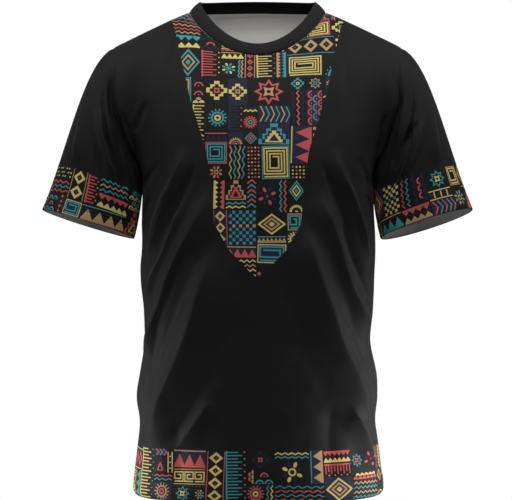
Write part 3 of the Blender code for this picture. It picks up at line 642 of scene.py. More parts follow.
def sleeve_surface(hand, sizes):
    """s is the angle round, and t the length up from the cuff. The seam of the sleeve is under the arm."""
    columns = 2 * round(SLEEVE_HALF_CUT / GRID_STEP) + 1
    angle = np.linspace(-pi, pi, columns)
    front = armhole_points("front", OUTWARD[hand], np.abs(angle) / pi)
    back = armhole_points("back", OUTWARD[hand], np.abs(angle) / pi)
    start = np.where((angle > 0)[:, None], front, back)
    start_pull = sleeve_pull(hand, angle, SLEEVE_START_PULL)
    end_pull = sleeve_pull(hand, angle, SLEEVE_END_PULL)
    cuff = cuff_points(hand, angle)
    shares = np.linspace(1.0, 0.0, 90)
    grid = np.array([bezier(start, start_pull, end_pull, cuff, share) for share in shares])
    steps = np.linalg.norm(np.diff(grid, axis=0), axis=-1)
    lengths = np.vstack((np.zeros(columns), np.cumsum(steps, axis=0)))
    even = np.linspace(0.0, 1.0, 90)
    places = np.zeros((90, columns, 2))
    level = np.zeros_like(grid)
    for column in range(columns):
        along = lengths[:, column] / lengths[-1, column]
        for axis in range(3):
            level[:, column, axis] = np.interp(even, along, grid[:, column, axis])
        places[:, column, 0] = angle[column] * CUFF_HALF_DEPTH
        places[:, column, 1] = np.interp(even, along, shares) * SLEEVE_SPAN
    full = lengths[-1]
    creases = []
    for crease in SLEEVE_CREASES:
        if crease.side == hand:
            line = [(radians(turn) * CUFF_HALF_DEPTH, share * SLEEVE_SPAN) for turn, share in crease.line]
            creases.append(crease._replace(line=line))
    depth = crease_depths(places, creases) * calm_near_edges(level, (level[-1],))
    level = press_tucks(press_gutters(level, SLEEVE_GUTTER))
    if hand == "right":
        level = level[:, ::-1]
        depth = depth[:, ::-1]
        full = full[::-1]
    limits = (-SLEEVE_HALF_CUT, SLEEVE_HALF_CUT)
    across = np.linspace(*limits, columns)

    def up(s, t):
        return t / np.interp(s, across, full)

    surface = Surface(level, limits, up, closed=True)
    surface = Surface(level + surface.normals * depth[..., None], limits, up, closed=True)
    surface.length = lambda s: np.interp(s, across, full)

    def detail(s, t):
        edge = surface.length(s) - t
        tucked = smoothstep((np.abs(s) / SLEEVE_HALF_CUT - 0.14) / 0.05)
        seam = -sizes.seam_dip * (1 - tucked) * (1 - smoothstep(edge / sizes.seam_width))
        under = SLEEVE_HALF_CUT - np.abs(s)
        seam = seam - 0.6 * sizes.seam_dip * (1 - smoothstep(under / sizes.seam_width))
        return seam + fold_detail(t, CUFF_TURN_UP)

    surface.detail = detail
    return surface


def box_shape(width, height, centre=0j):
    return centre + np.array((-width - 1j * height, width - 1j * height, width + 1j * height, -width + 1j * height)) / 2


def divided(outline):
    """The outline with more points along its long edges, so that it bends with the cloth."""
    parts = []
    for a, b in zip(outline, np.roll(outline, -1)):
        steps = int(abs(b - a) / LATTICE) + 1
        parts.append(a + (b - a) * np.arange(steps) / steps)
    return np.concatenate(parts)


def disc_shape(radius, centre=0j, corners=20):
    return centre + radius * np.exp(2j * pi * np.arange(corners) / corners)


def stroke(path, width, ink):
    """A line of even width along a path, in one shape for each straight part of it."""
    path = np.asarray(path, complex)
    along = np.diff(path)
    normal = 1j * along / np.abs(along)
    before = np.append(normal[:1], normal)
    after = np.append(normal, normal[-1:])
    side = (before + after) / (1 + (before * after.conj()).real) * width / 2
    low, high = path - side, path + side
    return [(np.array((low[i], low[i + 1], high[i + 1], high[i])), ink) for i in range(len(along))]


def spiral_path(width, height, pitch):
    """A square spiral from its outer corner inwards."""
    left, right, low, high = -width / 2, width / 2, -height / 2, height / 2
    path = [left + 1j * low]
    while right - left > pitch * 0.9 and high - low > pitch * 0.9:
        path.append(right + 1j * low)
        path.append(right + 1j * high)
        path.append(left + 1j * high)
        low += pitch
        path.append(left + 1j * low)
        right -= pitch
        high -= pitch
        left += pitch
        path[-1] = left - pitch + 1j * low
    return path[:-1]


def spiral(w, h, line, ink, accent, ground):
    """A square spiral inside a thin frame."""
    shapes = frame_shapes(w, h, line * 0.6, accent, ground)
    pitch = line * 1.9
    shapes += stroke(spiral_path(w - 3 * line, h - 3 * line, pitch), line, ink)
    return shapes


def frame_shapes(w, h, line, ink, ground):
    return [(box_shape(w, h), ink), (box_shape(w - 2 * line, h - 2 * line), ground)]


def teeth(w, h, line, ink, accent, ground):
    """Rows of teeth on a bar, back to back."""
    shapes = []
    for low, up, colour in ((-h / 2, 1, ink), (h / 2, -1, accent)):
        count = max(int(w / (h * 0.42)), 3)
        x = np.linspace(-w / 2, w / 2, 2 * count + 1)
        rise = np.where(np.arange(len(x)) % 2 == 1, h * 0.42, line)
        edge = x + 1j * (low + up * rise)
        outline = np.concatenate(((-w / 2 + 1j * low, w / 2 + 1j * low), edge[::-1]))
        shapes.append((outline, colour))
    return shapes


def saw(w, h, line, ink, accent, ground):
    """One row of tall teeth under a thin line."""
    count = max(int(w / (h * 0.62)), 3)
    x = np.linspace(-w / 2, w / 2, 2 * count + 1)
    rise = np.where(np.arange(len(x)) % 2 == 1, h * 0.78, line)
    edge = x + 1j * (rise - h / 2)
    outline = np.concatenate(((-w / 2 - 1j * h / 2, w / 2 - 1j * h / 2), edge[::-1]))
    return [(outline, ink), (box_shape(w, line * 0.7, 0.5j * (h - line * 0.7)), accent)]


def step_outline(w, h, steps):
    """A pyramid of square steps, on its base."""
    half = [complex(w / 2, -h / 2)]
    for step in range(steps):
        x = w / 2 * (1 - step / steps)
        up = -h / 2 + h * (step + 1) / steps
        half.append(complex(x, up))
        if step < steps - 1:
            half.append(complex(w / 2 * (1 - (step + 1) / steps), up))
    other = [complex(-point.real, point.imag) for point in reversed(half)]
    return np.array(half + other)


def pyramid(w, h, line, ink, accent, ground):
    """Stepped pyramids, one inside another."""
    shapes = []
    for scale, colour in ((1.0, ink), (0.78, ground), (0.56, accent), (0.30, ground)):
        shapes.append((step_outline(w * scale, h * scale, 4) - 1j * h * (1 - scale) * 0.28, colour))
    return shapes


def hourglass(w, h, line, ink, accent, ground):
    """Two stepped pyramids, tip to tip."""
    shapes = []
    for turn, colour in ((1, ink), (-1, accent)):
        for scale, fill in ((1.0, colour), (0.52, ground)):
            outline = step_outline(w * scale, h * 0.5 * scale, 3) - 0.5j * h * (0.5 + 0.5 * (1 - scale) * 0.8)
            shapes.append((outline * turn, fill))
    return shapes


def star_shape(radius, inner, points, turn=0.0):
    spokes = np.arange(2 * points)
    reach = np.where(spokes % 2 == 0, radius, radius * inner)
    return reach * np.exp(1j * (pi * spokes / points + turn))


def star(w, h, line, ink, accent, ground):
    """An eight-point star with a ring and a heart."""
    r = min(w, h) / 2
    return [
        (star_shape(r, 0.62, 8), ink), (star_shape(r * 0.72, 0.66, 8), ground),
        (star_shape(r * 0.52, 0.5, 4, pi / 4), accent), (disc_shape(r * 0.14), ground),
    ]


def sun(w, h, line, ink, accent, ground):
    """A disc with short rays round it."""
    r = min(w, h) / 2
    shapes = []
    for step in range(14):
        spoke = np.exp(2j * pi * step / 14)
        shapes += stroke((spoke * r * 0.74, spoke * r), line * 0.85, ink)
    for reach, colour in ((0.70, ink), (0.50, ground), (0.36, accent), (0.16, ground)):
        shapes.append((disc_shape(r * reach), colour))
    return shapes


def medallion(w, h, line, ink, accent, ground):
    """A large round of petals, beads and a star."""
    r = min(w, h) / 2
    shapes = []
    for step in range(18):
        petal = disc_shape(1.0, corners=12)
        petal = (petal.real * r * 0.13 + 1j * petal.imag * r * 0.085 + r * 0.87) * np.exp(2j * pi * step / 18)
        shapes.append((petal, (ink, accent, "teal")[step % 3]))
    shapes += [(disc_shape(r * 0.70, corners=40), accent), (disc_shape(r * 0.70 - line * 0.8, corners=40), ground)]
    for step in range(14):
        shapes.append((disc_shape(line * 0.6, r * 0.54 * np.exp(2j * pi * step / 14), 9), (ink, "coral")[step % 2]))
    shapes += star(r * 0.84, r * 0.84, line, ink, accent, ground)
    return shapes


def rosette(w, h, line, ink, accent, ground):
    """Petals round a ring."""
    r = min(w, h) / 2
    shapes = []
    for step in range(8):
        petal = disc_shape(1.0, corners=10)
        petal = (petal.real * r * 0.26 + 1j * petal.imag * r * 0.16 + r * 0.70) * np.exp(2j * pi * (step + 0.5) / 8)
        shapes.append((petal, ink if step % 2 else accent))
    return shapes + [(disc_shape(r * 0.36), ink), (disc_shape(r * 0.20), ground), (disc_shape(r * 0.09), accent)]


def diamonds(w, h, line, ink, accent, ground):
    """Diamonds, one inside another."""
    rhomb = np.array((w / 2, 0.5j * h, -w / 2, -0.5j * h))
    shapes = []
    for scale, colour in ((1.0, ink), (0.80, ground), (0.62, accent), (0.42, ground), (0.24, ink)):
        shapes.append((rhomb * scale, colour))
    return shapes


def zigzags(w, h, line, ink, accent, ground):
    """Rows of zigzag line, in two inks."""
    count = max(round(w / 9), 3)
    rows = max(round(h / 7.5), 2)
    shapes = []
    for row in range(rows):
        middle = -h / 2 + h * (row + 0.5) / rows
        x = np.linspace(-w / 2, w / 2, 2 * count + 1)
        y = middle + np.where(np.arange(len(x)) % 2 == 1, 1.0, -1.0) * h / rows * 0.24
        shapes += stroke(x + 1j * y, line * 0.8, ink if row % 2 == 0 else accent)
    return shapes


def ladder(w, h, line, ink, accent, ground):
    """Two rails with rungs and small lozenges between them."""
    tall = h >= w
    long_side, short = (h, w) if tall else (w, h)
    count = max(round(long_side / 5.0), 7)
    shapes = []
    for side in (-1, 1):
        shapes.append((box_shape(long_side, line * 0.7, side * 0.5j * (short - line * 0.7)), ink))
    for step in range(count):
        x = -long_side / 2 + long_side * (step + 0.5) / count
        if step % 2:
            shapes.append((box_shape(line * 0.8, short - line * 2.4, x), ink))
        else:
            half = min((short - 2.6 * line) / 2, 3.2)
            shapes.append((x + np.array((half, 1j * half, -half, -1j * half)), accent))
    return [(outline * (1j if tall else 1), colour) for outline, colour in shapes]


def checks(w, h, line, ink, accent, ground):
    """A chequer of small squares."""
    columns, rows = max(round(w / 5), 2), max(round(h / 5), 2)
    cell = complex(w / columns, h / rows)
    shapes = []
    for i in range(columns):
        for j in range(rows):
            if (i + j) % 2 == 0:
                centre = complex(-w / 2 + cell.real * (i + 0.5), -h / 2 + cell.imag * (j + 0.5))
                colour = accent if j == rows // 2 else ink
                shapes.append((box_shape(cell.real * 0.86, cell.imag * 0.86, centre), colour))
    return shapes


def scallops(w, h, line, ink, accent, ground):
    """Rows of half rings, each row between those of the one below."""
    rows = max(round(h / 8), 2)
    deep = h / rows
    half = np.exp(1j * np.linspace(0, pi, 11))
    shapes = []
    for row in reversed(range(rows)):
        count = max(round(w / deep / 1.7), 1) - row % 2
        pitch = w / (count + row % 2)
        for step in range(count):
            base = complex((step - (count - 1) / 2) * pitch, -h / 2 + deep * row)
            reach = min(pitch / 2 * 0.94, deep * 0.98)
            shapes += [(base + reach * half, (ink, accent)[row % 2]), (base + (reach - line) * half, ground)]
            shapes.append((base + line * 0.7 * half, ink))
    return shapes


def arches(w, h, line, ink, accent, ground):
    """Half rings, one inside another, with beads round them."""
    r = min(w / 2, h) * 0.98
    base = -1j * h / 2
    half = np.exp(1j * np.linspace(0, pi, 15))
    shapes = []
    for step in range(9):
        spoke = np.exp(1j * pi * (step + 0.5) / 9)
        shapes.append((disc_shape(line * 0.55, base + spoke * (r - line * 0.6), 9), ink))
    for reach, colour in ((0.80, ink), (0.64, ground), (0.50, accent), (0.34, ground), (0.20, ink)):
        shapes.append((base + r * reach * half, colour))
    return shapes


def cross(w, h, line, ink, accent, ground):
    """A stepped cross with an open heart."""
    r = min(w, h) / 2
    quarter = np.array((1 + 0.26j, 0.62 + 0.26j, 0.62 + 0.62j, 0.26 + 0.62j, 0.26 + 1j))
    outline = np.concatenate([quarter * 1j**turn for turn in range(4)]) * r
    return [(outline, ink), (outline * 0.66, ground), (box_shape(r * 0.52, r * 0.52), accent),
            (box_shape(r * 0.22, r * 0.22), ground)]


def comb(w, h, line, ink, accent, ground):
    """A bar with prongs, and beads between their ends."""
    count = max(round(w / 4.6), 5)
    shapes = [(box_shape(w, line, 0.5j * (h - line)), ink)]
    for step in range(count):
        x = -w / 2 + w * (step + 0.5) / count
        length = h * (0.62 if step % 2 else 0.82)
        shapes.append((box_shape(line * 0.75, length, complex(x, h / 2 - length / 2)), ink))
        if step % 2:
            shapes.append((disc_shape(line * 0.5, complex(x, -h / 2 + line * 0.6), 9), accent))
    return shapes


def lozenges(w, h, line, ink, accent, ground):
    """A row of lozenges between two lines."""
    count = max(round(w / (h * 0.72)), 2)
    shapes = []
    for side in (-1, 1):
        shapes.append((box_shape(w, line * 0.55, side * 0.5j * (h - line * 0.55)), accent))
    size = (h - 2.4 * line) / 2
    wide = min(w / count / 2 * 0.92, size * 1.1)
    for step in range(count):
        centre = -w / 2 + w * (step + 0.5) / count
        rhomb = np.array((wide, 1j * size, -wide, -1j * size))
        shapes += [(centre + rhomb, ink), (centre + rhomb * 0.5, ground)]
        shapes.append((disc_shape(line * 0.35, centre, 8), accent))
    return shapes


def waves(w, h, line, ink, accent, ground):
    """Soft waves, one above another."""
    rows = max(round(h / 6.5), 2)
    shapes = []
    for row in range(rows):
        x = np.linspace(-w / 2, w / 2, max(int(w / 1.6), 8))
        y = -h / 2 + h * (row + 0.5) / rows + h / rows * 0.24 * np.sin(2 * pi * x / 13 + row)
        shapes += stroke(x + 1j * y, line * 0.75, (ink, accent)[row % 2])
    return shapes


def keys(w, h, line, ink, accent, ground):
    """A row of small square spirals between two rails."""
    count = max(round(w / (h * 0.86)), 2)
    pitch = w / count
    shapes = []
    for side in (-1, 1):
        shapes.append((box_shape(w, line * 0.6, side * 0.5j * (h - line * 0.6)), accent))
    for step in range(count):
        centre = -w / 2 + pitch * (step + 0.5)
        size = min(pitch - 1.4 * line, h - 3.4 * line)
        path = np.array(spiral_path(size, size, line * 1.75))
        if step % 2:
            path = -path.conj()
        shapes += stroke(centre + path, line * 0.8, ink)
    return shapes


def chevrons(w, h, line, ink, accent, ground):
    """Nested arrowheads."""
    shapes = []
    count = max(round(w / 7), 2)
    for step in range(count):
        x = -w / 2 + w * (step + 0.35) / count
        reach = w / count * 0.75
        path = (complex(x, h / 2), complex(x + reach, 0), complex(x, -h / 2))
        shapes += stroke(path, line * 0.85, (ink, accent)[step % 2])
    return shapes


def bead_rows(w, h, line, ink, accent, ground):
    """Rows of beads."""
    columns, rows = max(round(w / 5.4), 1), max(round(h / 5.4), 1)
    shapes = []
    for i in range(columns):
        for j in range(rows):
            centre = complex(-w / 2 + w * (i + 0.5) / columns, -h / 2 + h * (j + 0.5) / rows)
            shapes.append((disc_shape(line * 0.58, centre, 10), ink if (i + j) % 3 else accent))
    return shapes


WIDE_MOTIFS = (keys, saw, lozenges, comb, teeth, zigzags, scallops, chevrons, ladder, waves, bead_rows)
SQUARE_MOTIFS = (spiral, sun, cross, arches, spiral, star, diamonds, pyramid, rosette, checks, scallops)
INK_PAIRS = (
    ("yellow", "coral"), ("teal", "gold"), ("coral", "yellow"), ("yellow", "teal"), ("gold", "coral"),
    ("teal", "coral"), ("navy", "coral"), ("coral", "teal"), ("yellow", "navy"), ("teal", "yellow"),
    ("gold", "teal"), ("yellow", "gold"), ("coral", "gold"),
)

# Edge of the front print, in mm across and up the front from its middle at the height of the shoulders
FRONT_EDGE = (
    (136, 60), (128, 2), (118, -38), (97, -138), (74, -212), (66, -262), (62, -318), (41, -356), (12, -386), (0, -396),
)
LINE = 2.3
HEM_BAND = 76
CUFF_BAND = 71
BLOCK_GAP = 2.2
LONGEST_BLOCK = 78
NAVY_SHARE = 0.20
BARE_SHARE = 0.0


def split_field(left, right, low, high, source):
    """Uneven blocks that fill a field, by cutting it across its longer way again and again."""
    width, height = right - left, high - low
    longest, shortest = max(width, height), min(width, height)
    if longest < LONGEST_BLOCK and (width * height < source.uniform(600, 3000) or shortest < 13):
        return [(left, right, low, high)]
    share = source.choice((source.uniform(0.27, 0.36), source.uniform(0.44, 0.56), source.uniform(0.64, 0.73)))
    if width > height * source.uniform(0.6, 1.6):
        middle = left + width * share
        return split_field(left, middle, low, high, source) + split_field(middle, right, low, high, source)
    middle = low + height * share
    return split_field(left, right, low, middle, source) + split_field(left, right, middle, high, source)


def block_shapes(block, turn, source):
    """The shapes of one block, a little out of true as in hand-cut print."""
    left, right, low, high = block
    width, height = right - left - BLOCK_GAP, high - low - BLOCK_GAP
    ink, accent = INK_PAIRS[turn % len(INK_PAIRS)]
    if source.random() < BARE_SHARE:
        return []
    navy = source.random() < NAVY_SHARE and "navy" not in (ink, accent)
    ground = "navy" if navy else "ground"
    shapes = [(box_shape(width + BLOCK_GAP * 0.6, height + BLOCK_GAP * 0.6), "navy")] if navy else []
    line = LINE * source.uniform(0.86, 1.08)
    tall = height > width
    long_side, short = max(width, height), min(width, height)
    if long_side > short * 1.7:
        motif = WIDE_MOTIFS[turn % len(WIDE_MOTIFS)]
        if motif is keys and short < 20:
            motif = zigzags
    else:
        motif = medallion if short > 44 else SQUARE_MOTIFS[turn * 3 % len(SQUARE_MOTIFS)]
        tall = False
        long_side, short = width, height
    drawn = motif(long_side, short, line, ink, accent, ground)
    shapes += [(outline * (1j if tall else 1), colour) for outline, colour in drawn]
    lean = np.exp(1j * radians(source.uniform(-1.6, 1.6)))
    middle = complex((left + right) / 2, (low + high) / 2)
    return [(divided(outline * lean + middle), colour) for outline, colour in shapes]


def field_shapes(left, right, low, high, source, ragged=0.0):
    """Blocks over a field. A ragged one has its top blocks end unevenly."""
    shapes = []
    for turn, block in enumerate(split_field(left, right, low, high, source)):
        if block[3] > high - 1e-6 and ragged:
            block = (*block[:3], high - source.uniform(0, ragged))
        shapes += block_shapes(block, turn, source)
    return shapes


def front_print(surface):
    """The shapes of the front print and its edge, carried from their layout to the flat cut."""
    shapes = field_shapes(-140, 140, -404, 34, np.random.default_rng(17))
    right = np.array([complex(*place) for place in FRONT_EDGE])
    edge = np.concatenate((right, -right[-2::-1].conj()))
    edge = divided(edge)
    carry = LayoutMap(surface)
    inside = [(carry.to_cut(outline), ink) for outline, ink in shapes
              if np.any(inside_outline(edge, outline.real, outline.imag))]
    return inside, carry.to_cut(edge)


class LayoutMap:
    """Carries places (across, up the front) in mm to the flat cut: across is the shirt's own x, and up is the
    length along the cloth."""

    def __init__(self, surface):
        points = surface.points
        low, high = surface.s_range
        step = np.linalg.norm(np.diff(points[..., 1:], axis=0), axis=-1)
        up = HEM_HEIGHT + np.vstack((np.zeros(points.shape[1]), np.cumsum(step, axis=0)))
        t = np.linspace(HEM_HEIGHT, TOP_CUT, points.shape[0])
        armpit = np.abs(t - ARMPIT_HEIGHT).argmin()
        up += ARMPIT_HEIGHT - up[armpit]
        chart = np.stack((points[..., 0], up), axis=-1)
        beyond = np.arange(1, 21)[:, None, None]
        self.chart = np.concatenate((chart, chart[-1] + beyond * (chart[-1] - chart[-2])))
        self.s = np.linspace(low, high, points.shape[1])
        self.t = np.concatenate((t, TOP_CUT + np.arange(1, 21) * (t[1] - t[0])))
        self.tree = KDTree(self.chart[..., 0].size)
        for index, place in enumerate(self.chart.reshape(-1, 2)):
            self.tree.insert((*place, 0.0), index)
        self.tree.balance()

    def to_cut(self, outline):
        """Each place's own spot, by the slopes of the grid at its nearest point."""
        rows, columns = self.chart.shape[:2]
        spots = []
        for point in outline:
            target = np.array((point.real, point.imag)) * MM
            row, column = divmod(self.tree.find((*target, 0.0))[1], columns)
            row = min(max(row, 1), rows - 2)
            column = min(max(column, 1), columns - 2)
            across = (self.chart[row, column + 1] - self.chart[row, column - 1]) / 2
            along = (self.chart[row + 1, column] - self.chart[row - 1, column]) / 2
            share = np.linalg.solve(np.stack((across, along), axis=-1), target - self.chart[row, column])
            share = np.clip(share, -1.0, 1.0)
            s = self.s[column] + share[0] * (self.s[1] - self.s[0])
            t = self.t[row] + share[1] * (self.t[1] - self.t[0])
            spots.append(complex(s, t) / MM)
        return np.array(spots)


def crest_points(creases, span):
    """Points along the high creases and close beside them, so that their crests stay sharp. span is the
    length in metres that one unit of the creases' places stands for, each way."""
    places = []
    for crease in creases:
        if crease.height < SHARP_HEIGHT:
            continue
        line = smooth_line(crease.line, CREASE_SAMPLES) * span
        lengths = np.concatenate(([0.0], np.cumsum(np.linalg.norm(np.diff(line, axis=0), axis=1))))
        along = np.arange(0.0, lengths[-1], CREST_STEP)
        spine = np.stack([np.interp(along, lengths, line[:, axis]) for axis in range(2)], axis=-1)
        ahead = unit(np.gradient(spine, axis=0))
        aside = np.stack((ahead[:, 1], -ahead[:, 0]), axis=-1)
        places += [spine + aside * offset for offset in (-CREST_STEP / 2, 0.0, CREST_STEP / 2)]
    return np.concatenate(places) / MM if places else np.zeros((0, 2))


def cut_mesh(outline, shapes, fine, levels=(), front=(), front_edge=None, crests=()):
    """Triangles over a flat cut in mm, with the print's shapes cut in, smaller where fine says so. The
    front's own shapes show only inside its edge. Gives points, triangles and inks."""
    points = []
    edges = []
    edge = [] if front_edge is None else [front_edge]
    for shape in [outline] + edge + [shape for shape, _ in (*shapes, *front)]:
        first = len(points)
        points += [Vector((point.real, point.imag)) for point in shape]
        edges += [(first + i, first + (i + 1) % len(shape)) for i in range(len(shape))]
    lattice = lattice_points(outline, levels, fine)
    if len(crests):
        crests = crests[inside_outline(outline, crests[:, 0], crests[:, 1])]
        tree = KDTree(len(crests))
        for index, place in enumerate(crests):
            tree.insert((*place, 0.0), index)
        tree.balance()
        clear = [tree.find((*place, 0.0))[2] > LATTICE / 4 for place in lattice]
        lattice = np.concatenate((lattice[clear], crests))
    points += [Vector(place) for place in lattice]
    found, _, triangles = delaunay_2d_cdt(points, edges, [], 0, 1e-4, False)[:3]
    places = np.array(found)
    corners = np.array(triangles)
    middle = places[corners].mean(axis=1)
    corners = corners[inside_outline(outline, middle[:, 0], middle[:, 1])]
    middle = places[corners].mean(axis=1)
    colours = np.full(len(corners), INKS.index("ground"))
    order = middle[:, 1].argsort()
    corners, middle = corners[order], middle[order]
    in_front = np.zeros(len(corners), bool)
    if front_edge is not None:
        in_front = inside_outline(front_edge, middle[:, 0], middle[:, 1])
    for group, shown in ((shapes, ~in_front), (front, in_front)):
        for shape, ink in group:
            first, last = np.searchsorted(middle[:, 1], (shape.imag.min(), shape.imag.max()))
            near = middle[first:last]
            inside = inside_outline(shape, near[:, 0], near[:, 1]) & shown[first:last]
            colours[first:last][inside] = INKS.index(ink)
    return places, corners, colours


def inside_outline(outline, x, y):
    """Whether each place is inside, by the crossings of a level line."""
    inside = np.zeros(x.shape, bool)
    ends = np.roll(outline, -1)
    for a, b in zip(outline, ends):
        if a.imag == b.imag:
            continue
        crosses = (a.imag > y) != (b.imag > y)
        at = a.real + (y - a.imag) * (b.real - a.real) / (b.imag - a.imag)
        inside ^= crosses & (x < at)
    return inside


def staggered_rows(outline, step, levels=()):
    """Points in staggered rows over the outline's box, and extra rows at the named levels."""
    rows = np.arange(outline.imag.min() + step, outline.imag.max(), step * 0.866)
    rows = [row for row in rows if all(abs(row - level) > step * 0.3 for level in levels)]
    places = []
    for index, row in enumerate(rows + list(levels)):
        start = outline.real.min() + step * (0.5 + 0.5 * (index % 2))
        places += [(value, row) for value in np.arange(start, outline.real.max() - step * 0.3, step)]
    return np.array(places)


def lattice_points(outline, levels, fine):
    """The points inside the outline that shape a piece's mesh, at half the distance where fine says so."""
    coarse = staggered_rows(outline, LATTICE, levels)
    close = staggered_rows(outline, LATTICE / 2)
    places = np.concatenate((coarse[~fine(coarse) | np.isin(coarse[:, 1], levels)], close[fine(close)]))
    keep = inside_outline(outline, places[:, 0], places[:, 1])
    on_level = np.isin(places[:, 1], levels)
    for point in outline:
        clear = (places[:, 0] - point.real) ** 2 + (places[:, 1] - point.imag) ** 2 > EDGE_CLEAR**2
        keep &= clear | on_level
    return places[keep]


def cloth_piece(name, surface, cut, wall, fold_top, materials, inks, closed=False):
    """Makes a thin shell from a flat cut: its outer face carries the print, and its inner face is plain above
    the top of its turned-up edge."""
    places, corners, colours = cut
    s, t = places[:, 0] * MM, places[:, 1] * MM
    outer = surface.at(s, t)
    normals = surface.normal_at(s, t)
    inner = outer - normals * wall(s, t)[:, None]
    count = len(places)
    a, b, c = places[corners[:, 0]], places[corners[:, 1]], places[corners[:, 2]]
    flipped = (b[:, 0] - a[:, 0]) * (c[:, 1] - a[:, 1]) < (b[:, 1] - a[:, 1]) * (c[:, 0] - a[:, 0])
    corners[flipped] = corners[flipped][:, ::-1]
    open_edges = edge_pairs(corners, count)
    weld = np.arange(count)
    if closed:
        open_edges, weld = close_tube(places, open_edges, weld)
    a, b = weld[open_edges].T
    rims = np.stack((b, a, a + count, b + count), axis=-1)
    cut_corners = np.concatenate((corners.ravel(), corners[:, ::-1].ravel(), rims.ravel() % count))
    vertex = np.concatenate((weld[corners].ravel(), weld[corners][:, ::-1].ravel() + count, rims.ravel()))
    sizes = np.concatenate((np.full(2 * len(corners), 3), np.full(len(rims), 4)))
    used, vertex = np.unique(vertex, return_inverse=True)
    points = np.concatenate((outer, inner))[used]
    mesh = bpy.data.meshes.new(name)
    mesh.vertices.add(len(points))
    mesh.vertices.foreach_set("co", points.ravel())
    mesh.loops.add(len(vertex))
    mesh.loops.foreach_set("vertex_index", vertex.astype(np.int32))
    mesh.polygons.add(len(sizes))
    mesh.polygons.foreach_set("loop_start", np.concatenate(([0], np.cumsum(sizes)[:-1])).astype(np.int32))
    turned_up = places[corners][..., 1].mean(axis=1) * MM < fold_top
    shown = np.concatenate((np.zeros(len(corners)), ~turned_up, np.zeros(len(rims)))).astype(np.int32)
    mesh.polygons.foreach_set("material_index", shown)
    mesh.update(calc_edges=True)
    smooth = np.concatenate((np.ones(2 * len(corners), bool), np.zeros(len(rims), bool)))
    mesh.polygons.foreach_set("use_smooth", smooth)
    layer = mesh.uv_layers.new(name="cut")
    layer.data.foreach_set("uv", np.stack((s[cut_corners], t[cut_corners]), axis=-1).ravel())
    shades = np.array([inks[ink] for ink in INKS])[colours]
    per_corner = np.repeat(shades, 3, axis=0)
    # inner faces below the turn-up take the turned-up grey, which is partly painted shade
    inside = np.tile(inks["turned"], (len(per_corner), 1))
    rim = np.tile(inks["ground"], (rims.size, 1))
    colour = mesh.color_attributes.new("print_colour", "FLOAT_COLOR", "CORNER")
    values = np.concatenate((per_corner, inside, rim))
    colour.data.foreach_set("color", np.column_stack((values, np.ones(len(values)))).ravel())
    turned = np.concatenate((normals[corners.ravel()], -normals[corners[:, ::-1].ravel()], np.zeros((rims.size, 3))))
    mesh.normals_split_custom_set(turned)
    for material in materials:
        mesh.materials.append(material)
    piece = bpy.data.objects.new(name, mesh)
    bpy.context.scene.collection.objects.link(piece)
    return piece


def edge_pairs(corners, count):
    """The edges that only one triangle has, in that triangle's own direction."""
    edges = np.concatenate((corners[:, (0, 1)], corners[:, (1, 2)], corners[:, (2, 0)]))
    forth = edges[:, 0].astype(np.int64) * count + edges[:, 1]
    back = edges[:, 1].astype(np.int64) * count + edges[:, 0]
    return edges[~np.isin(forth, back)]


def close_tube(places, open_edges, weld):
    """Joins the right edge of a tube's cut to its left edge, point by point."""
    left_x, right_x = places[:, 0].min(), places[:, 0].max()
    on_left = np.flatnonzero(places[:, 0] < left_x + 1e-4)
    on_right = np.flatnonzero(places[:, 0] > right_x - 1e-4)
    weld[on_right[places[on_right, 1].argsort()]] = on_left[places[on_left, 1].argsort()]
    x = places[open_edges, 0]
    side = np.all(x < left_x + 1e-4, axis=1) | np.all(x > right_x - 1e-4, axis=1)
    return open_edges[~side], weld


def panel_outline():
    """The cut's edge in mm, anticlockwise. Its points are closer together along the armholes."""
    steps = round(2 * HALF_CUT / MM / LATTICE)
    x = np.linspace(-HALF_CUT, HALF_CUT, steps + 1) / MM
    side = np.linspace(HEM_HEIGHT, ARMPIT_HEIGHT, round((ARMPIT_HEIGHT - HEM_HEIGHT) / MM / LATTICE) + 1)
    armhole = np.linspace(ARMPIT_HEIGHT, TOP_CUT, round(YOKE_CUT / MM / SEAM_STEP) + 1)
    y = np.concatenate((side, armhole[1:])) / MM
    return np.concatenate((x[:-1] + 1j * y[0], x[-1] + 1j * y[:-1], x[:0:-1] + 1j * y[-1], x[0] + 1j * y[:0:-1]))


def near_armhole(places):
    """Whether places on a panel's cut, in mm, are close to its armholes."""
    return (np.abs(places[:, 0]) > 205) & (places[:, 1] > -305)


def sleeve_outline(surface):
    """The same for a sleeve, which widens to its round top."""
    x, fine = [np.linspace(-SLEEVE_HALF_CUT, SLEEVE_HALF_CUT, round(2 * SLEEVE_HALF_CUT / MM / step) + 1)
               for step in (LATTICE, SEAM_STEP)]
    top = fine / MM + 1j * surface.length(fine) / MM
    x = x / MM
    y = np.linspace(0.0, top[0].imag, round(top[0].imag / LATTICE) + 1)
    return np.concatenate((x[:-1] + 0j, x[-1] + 1j * y[:-1], top[:0:-1], x[0] + 1j * y[:0:-1]))


